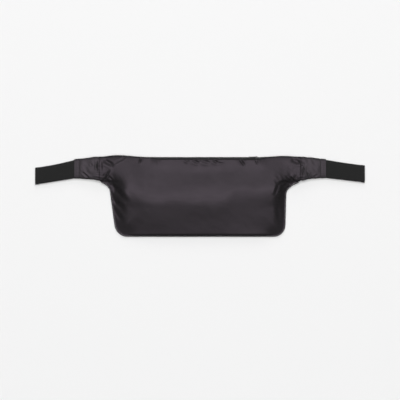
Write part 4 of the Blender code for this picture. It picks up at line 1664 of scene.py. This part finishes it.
@dataclass(frozen=True)
class Zip:
    """One coil zip: tapes, coils, stops, slider and pull."""

    name: str
    inset: float
    low: float = -0.1688
    high: float = 0.2388
    start: float = -0.1650
    end: float = 0.2350
    tape_near: float = 0.0034
    tape_thick: float = 0.0008
    tape_edge: float = math.radians(50.0)
    tooth_pitch: float = 0.0013
    tooth_near: float = 0.0006
    tooth_far: float = 0.0032
    tooth_radius: float = 0.00044

    def point(self, x: float, v: float, w: float) -> Vector:
        """Point on the zip: v up its tapes from the middle of the chain, w out of it."""
        y = PLAN.zip_edge - self.inset - PLAN.band_half * math.sin(PLAN.lean)
        y += w * math.cos(PLAN.lean) - v * math.sin(PLAN.lean)
        return Vector((x, y, PLAN.seam_high + v * math.cos(PLAN.lean) + w * math.sin(PLAN.lean)))

    def build_tape(self, upper: bool, finish: bpy.types.Material) -> bpy.types.Object:
        """Woven tape from the panel's edge to the coil.

        Args:
            upper: True for the front panel's tape.
            finish: Material.

        Returns:
            The piece.
        """
        side = 1.0 if upper else -1.0
        fade = 0.9 * PLAN.band_fade
        xs = np.concatenate([
            np.linspace(self.low - fade, self.low, 8)[:-1],
            np.linspace(self.low, self.high, 110),
            np.linspace(self.high, self.high + fade, 8)[1:],
        ])
        normal = Vector((0.0, math.cos(PLAN.lean), math.sin(PLAN.lean))) * 0.5 * self.tape_thick
        rings = []
        for x in xs:
            inside = self.low + 0.0002 < x < self.high - 0.0002
            near = self.point(x, side * (self.tape_near if inside else 0.0002), 0.0)
            half = float(PLAN.parting(x))
            share = half / PLAN.band_half
            top = float(PLAN.top(x))
            near.y += (top - PLAN.zip_edge + PLAN.band_half * math.sin(PLAN.lean)) * (1.0 - share)
            lean = 2.0 * half * math.sin(PLAN.lean) if upper else 0.0
            far_z = PLAN.seam_high + side * (half * math.cos(PLAN.lean) - 0.00015)
            far = Vector((x, top - self.inset - lean, far_z))
            wave = 0.00015 * math.sin(x * 900.0)
            across = [near.lerp(far, k / 6.0) for k in range(7)]
            rings.append([p + normal * (1.0 + wave) for p in across] + [p - normal for p in across[::-1]])
        points = [p for ring in rings for p in ring]
        faces = strip_faces(len(rings), len(rings[0]))
        word = "upper" if upper else "lower"
        piece = face_out(make_piece(f"{self.name}_{word}_tape", points, faces, finish))
        piece.data.set_sharp_from_angle(angle=self.tape_edge)
        return piece

    def build_coil(self, upper: bool, trees: Trees, finish: bpy.types.Material) -> bpy.types.Object:
        """Half chain: one moulded loop, repeated along the tape.

        Args:
            upper: True for the front panel's half.
            trees: The node trees.
            finish: Material.

        Returns:
            The piece.
        """
        side = 1.0 if upper else -1.0
        shift = 0.0 if upper else 0.5 * self.tooth_pitch
        stations = ((0.0, 0.35), (0.10, 1.0), (0.28, 1.25), (0.46, 0.85), (0.9, 0.8), (1.0, 0.45))
        points = []
        sides = 6
        for share, size in stations:
            v = side * (self.tooth_near + (self.tooth_far - self.tooth_near) * share)
            for k in range(sides):
                angle = FULL_TURN * (k + 0.5) / sides
                across = self.tooth_radius * size * math.cos(angle)
                points.append(self.point(across, v, 0.0010 * size * math.sin(angle)))
        word = "upper" if upper else "lower"
        faces = strip_faces(len(stations), sides)
        tooth = face_out(make_piece(f"{self.name}_{word}_coil", points, faces, finish))
        count = int((self.end - self.start) / self.tooth_pitch) - 1
        first = (self.start + 0.5 * self.tooth_pitch + shift, 0.0, 0.0)
        step = (self.tooth_pitch, 0.0, 0.0)
        return trees.row.run(tooth, Count=count, Start=first, Step=step, Finish=finish)

    def build_fitting(self, part: str, width: float, finish: bpy.types.Material) -> bpy.types.Object:
        """Small metal fitting with rounded edges, made from its plain solid.

        Args:
            part: The end of the solid's name.
            width: Width of the rounding.
            finish: Material.

        Returns:
            The piece.
        """
        work = bmesh.new()
        work.from_mesh(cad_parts[f"{self.name}_{part}"].data)
        bmesh.ops.remove_doubles(work, verts=work.verts, dist=1e-6)
        bmesh.ops.dissolve_limit(work, angle_limit=math.radians(1.0), verts=work.verts, edges=work.edges)
        mesh = bpy.data.meshes.new(f"{self.name}_{part}_rounded")
        work.to_mesh(mesh)
        work.free()
        mesh.materials.clear()
        mesh.materials.append(finish)
        mesh.shade_smooth()
        piece = link(mesh.name, mesh)
        edge = piece.modifiers.new("edges", "BEVEL")
        edge.width = width
        edge.segments = 3
        edge.limit_method = "ANGLE"
        edge.angle_limit = math.radians(25.0)
        edge.use_clamp_overlap = True
        return settle(piece)

    def build(self, finishes: Finishes, trees: Trees) -> None:
        """Builds the zip and puts every piece on its body.

        Args:
            finishes: The materials.
            trees: The node trees.
        """
        prefix = self.name.split("_")[0]
        for part, body, width in (
            ("top_stop", "bag", 0.0004), ("bottom_stop", "bag", 0.0004),
            ("slider", f"{prefix}_slider", 0.00022), ("pull", f"{prefix}_pull", 0.00022),
        ):
            piece = self.build_fitting(part, width, finishes.enamel)
            dress(piece, body, f"{self.name}_{part}")
        for upper in (True, False):
            word = "upper" if upper else "lower"
            tape = self.build_tape(upper, finishes.tape)
            coil = self.build_coil(upper, trees, finishes.coil)
            dress(tape, "bag", f"{self.name}_{word}_tape")
            dress(coil, "bag", f"{self.name}_{word}_chain")


# ---------------------------------------------------------------- studio


@dataclass(frozen=True)
class Studio:
    """Pale floor, soft light from beyond the zipped edge and a camera straight above."""

    view_width: float = 1.6
    view_y: float = -0.016
    camera_height: float = 5.2
    object_plane: float = 0.018
    sensor: float = 36.0
    floor_size: float = 30.0
    floor_tone: float = 0.90
    floor_level: float = -0.0003
    panel_height: float = 20.0
    panel_lean: float = math.radians(8.0)
    panel_size: tuple[float, float] = (15.0, 21.0)
    panel_power: float = 4570.0
    side_elevation: float = math.radians(27.0)
    side_distance: float = 14.0
    side_size: float = 6.0
    side_power: float = 330.0
    sky: float = 0.05
    backdrop_radius: float = 14.5
    backdrop_height: float = 12.0
    backdrop_tone: float = 0.80

    def build_floor(self) -> None:
        """Plain pale floor under the bag."""
        half = 0.5 * self.floor_size
        make = Shader("pale_floor")
        make.set(Base_Color=(self.floor_tone,) * 3 + (1.0,), Roughness=0.9, Specular_IOR_Level=0.1)
        turns = ((-half, -half), (half, -half), (half, half), (-half, half))
        corners = [(x, y, self.floor_level) for x, y in turns]
        floor = make_piece("floor", corners, [(0, 1, 2, 3)], make.material, smooth=False)
        floor.visible_glossy = False

    def build_backdrop(self) -> None:
        """Pale round wall far behind everything, which only the camera sees."""
        make = Shader("pale_wall")
        make.set(
            Base_Color=(0.0, 0.0, 0.0, 1.0), Roughness=1.0, Specular_IOR_Level=0.0,
            Emission_Color=(1.0, 1.0, 1.0, 1.0), Emission_Strength=self.backdrop_tone,
        )
        count = 96
        turn = np.linspace(0.0, FULL_TURN, count, endpoint=False)
        ring = self.backdrop_radius * np.column_stack([np.cos(turn), np.sin(turn)])
        low = np.column_stack([ring, np.full(count, -0.0002)])
        high = np.column_stack([ring, np.full(count, self.backdrop_height)])
        faces = [(k, k + count, (k + 1) % count + count, (k + 1) % count) for k in range(count)]
        wall = make_piece("backdrop", np.vstack([low, high]), faces, make.material)
        for ray in ("diffuse", "glossy", "transmission", "shadow"):
            setattr(wall, f"visible_{ray}", False)

    @staticmethod
    def add_light(
        name: str, lean: float, distance: float, size: tuple[float, float], power: float
    ) -> None:
        """Adds a soft panel that faces the bag.

        Args:
            name: Name of the light.
            lean: How far it leans from straight above towards the zipped edge.
            distance: Its distance from the bag.
            size: Its width and its length.
            power: Its power in watts.
        """
        lamp = bpy.data.lights.new(name, "AREA")
        lamp.shape = "RECTANGLE"
        lamp.size, lamp.size_y = size
        lamp.energy = power
        light = link(name, lamp)
        light.location = Vector((0.0, math.sin(lean), math.cos(lean))) * distance
        light.rotation_euler = (-lean, 0.0, 0.0)

    def build_lights(self) -> None:
        """A wide panel overhead, a low one beyond the zipped edge and a faint even sky."""
        self.add_light("panel", self.panel_lean, self.panel_height, self.panel_size, self.panel_power)
        lean = 0.5 * math.pi - self.side_elevation
        size = (self.side_size, self.side_size)
        self.add_light("low_panel", lean, self.side_distance, size, self.side_power)
        world = bpy.data.worlds.new("sky")
        world.use_nodes = True
        world.node_tree.nodes["Background"].inputs[0].default_value = (1.0, 1.0, 1.0, 1.0)
        world.node_tree.nodes["Background"].inputs[1].default_value = self.sky
        bpy.context.scene.world = world
        bpy.context.scene.view_settings.view_transform = "Standard"

    def build_camera(self) -> None:
        """Camera that looks straight down, with the zipped edge at the top of its view."""
        data = bpy.data.cameras.new("camera")
        data.sensor_width = self.sensor
        data.lens = self.sensor * (self.camera_height - self.object_plane) / self.view_width
        camera = link("camera", data)
        camera.location = (0.0, self.view_y, self.camera_height)
        bpy.context.scene.camera = camera

    def build(self) -> None:
        """Builds the whole studio."""
        self.build_floor()
        self.build_backdrop()
        self.build_lights()
        self.build_camera()


def main() -> None:
    """Builds every sub-assembly in order."""
    logging.basicConfig(level=logging.INFO, format="%(message)s")
    Studio().build()
    finishes, trees = Finishes(), Trees()
    outer = OuterBag(finishes, trees)
    outer.build()
    LiningBag(outer).build()
    Arm("left", -1.0, 0.5030, 0.6600, (0.0704, 0.1472), (0.0452, 0.1136), 0.0030,
        LEFT_CREASES).build(finishes, trees)
    Arm("right", 1.0, 0.5036, 0.6600, (0.0720, 0.1476), (0.0536, 0.1224), 0.0010,
        RIGHT_CREASES).build(finishes, trees)
    Zip("outer_zip", 0.0).build(finishes, trees)
    Zip("inner_zip", 0.0240).build(finishes, trees)


if __name__ == "__main__":
    main()
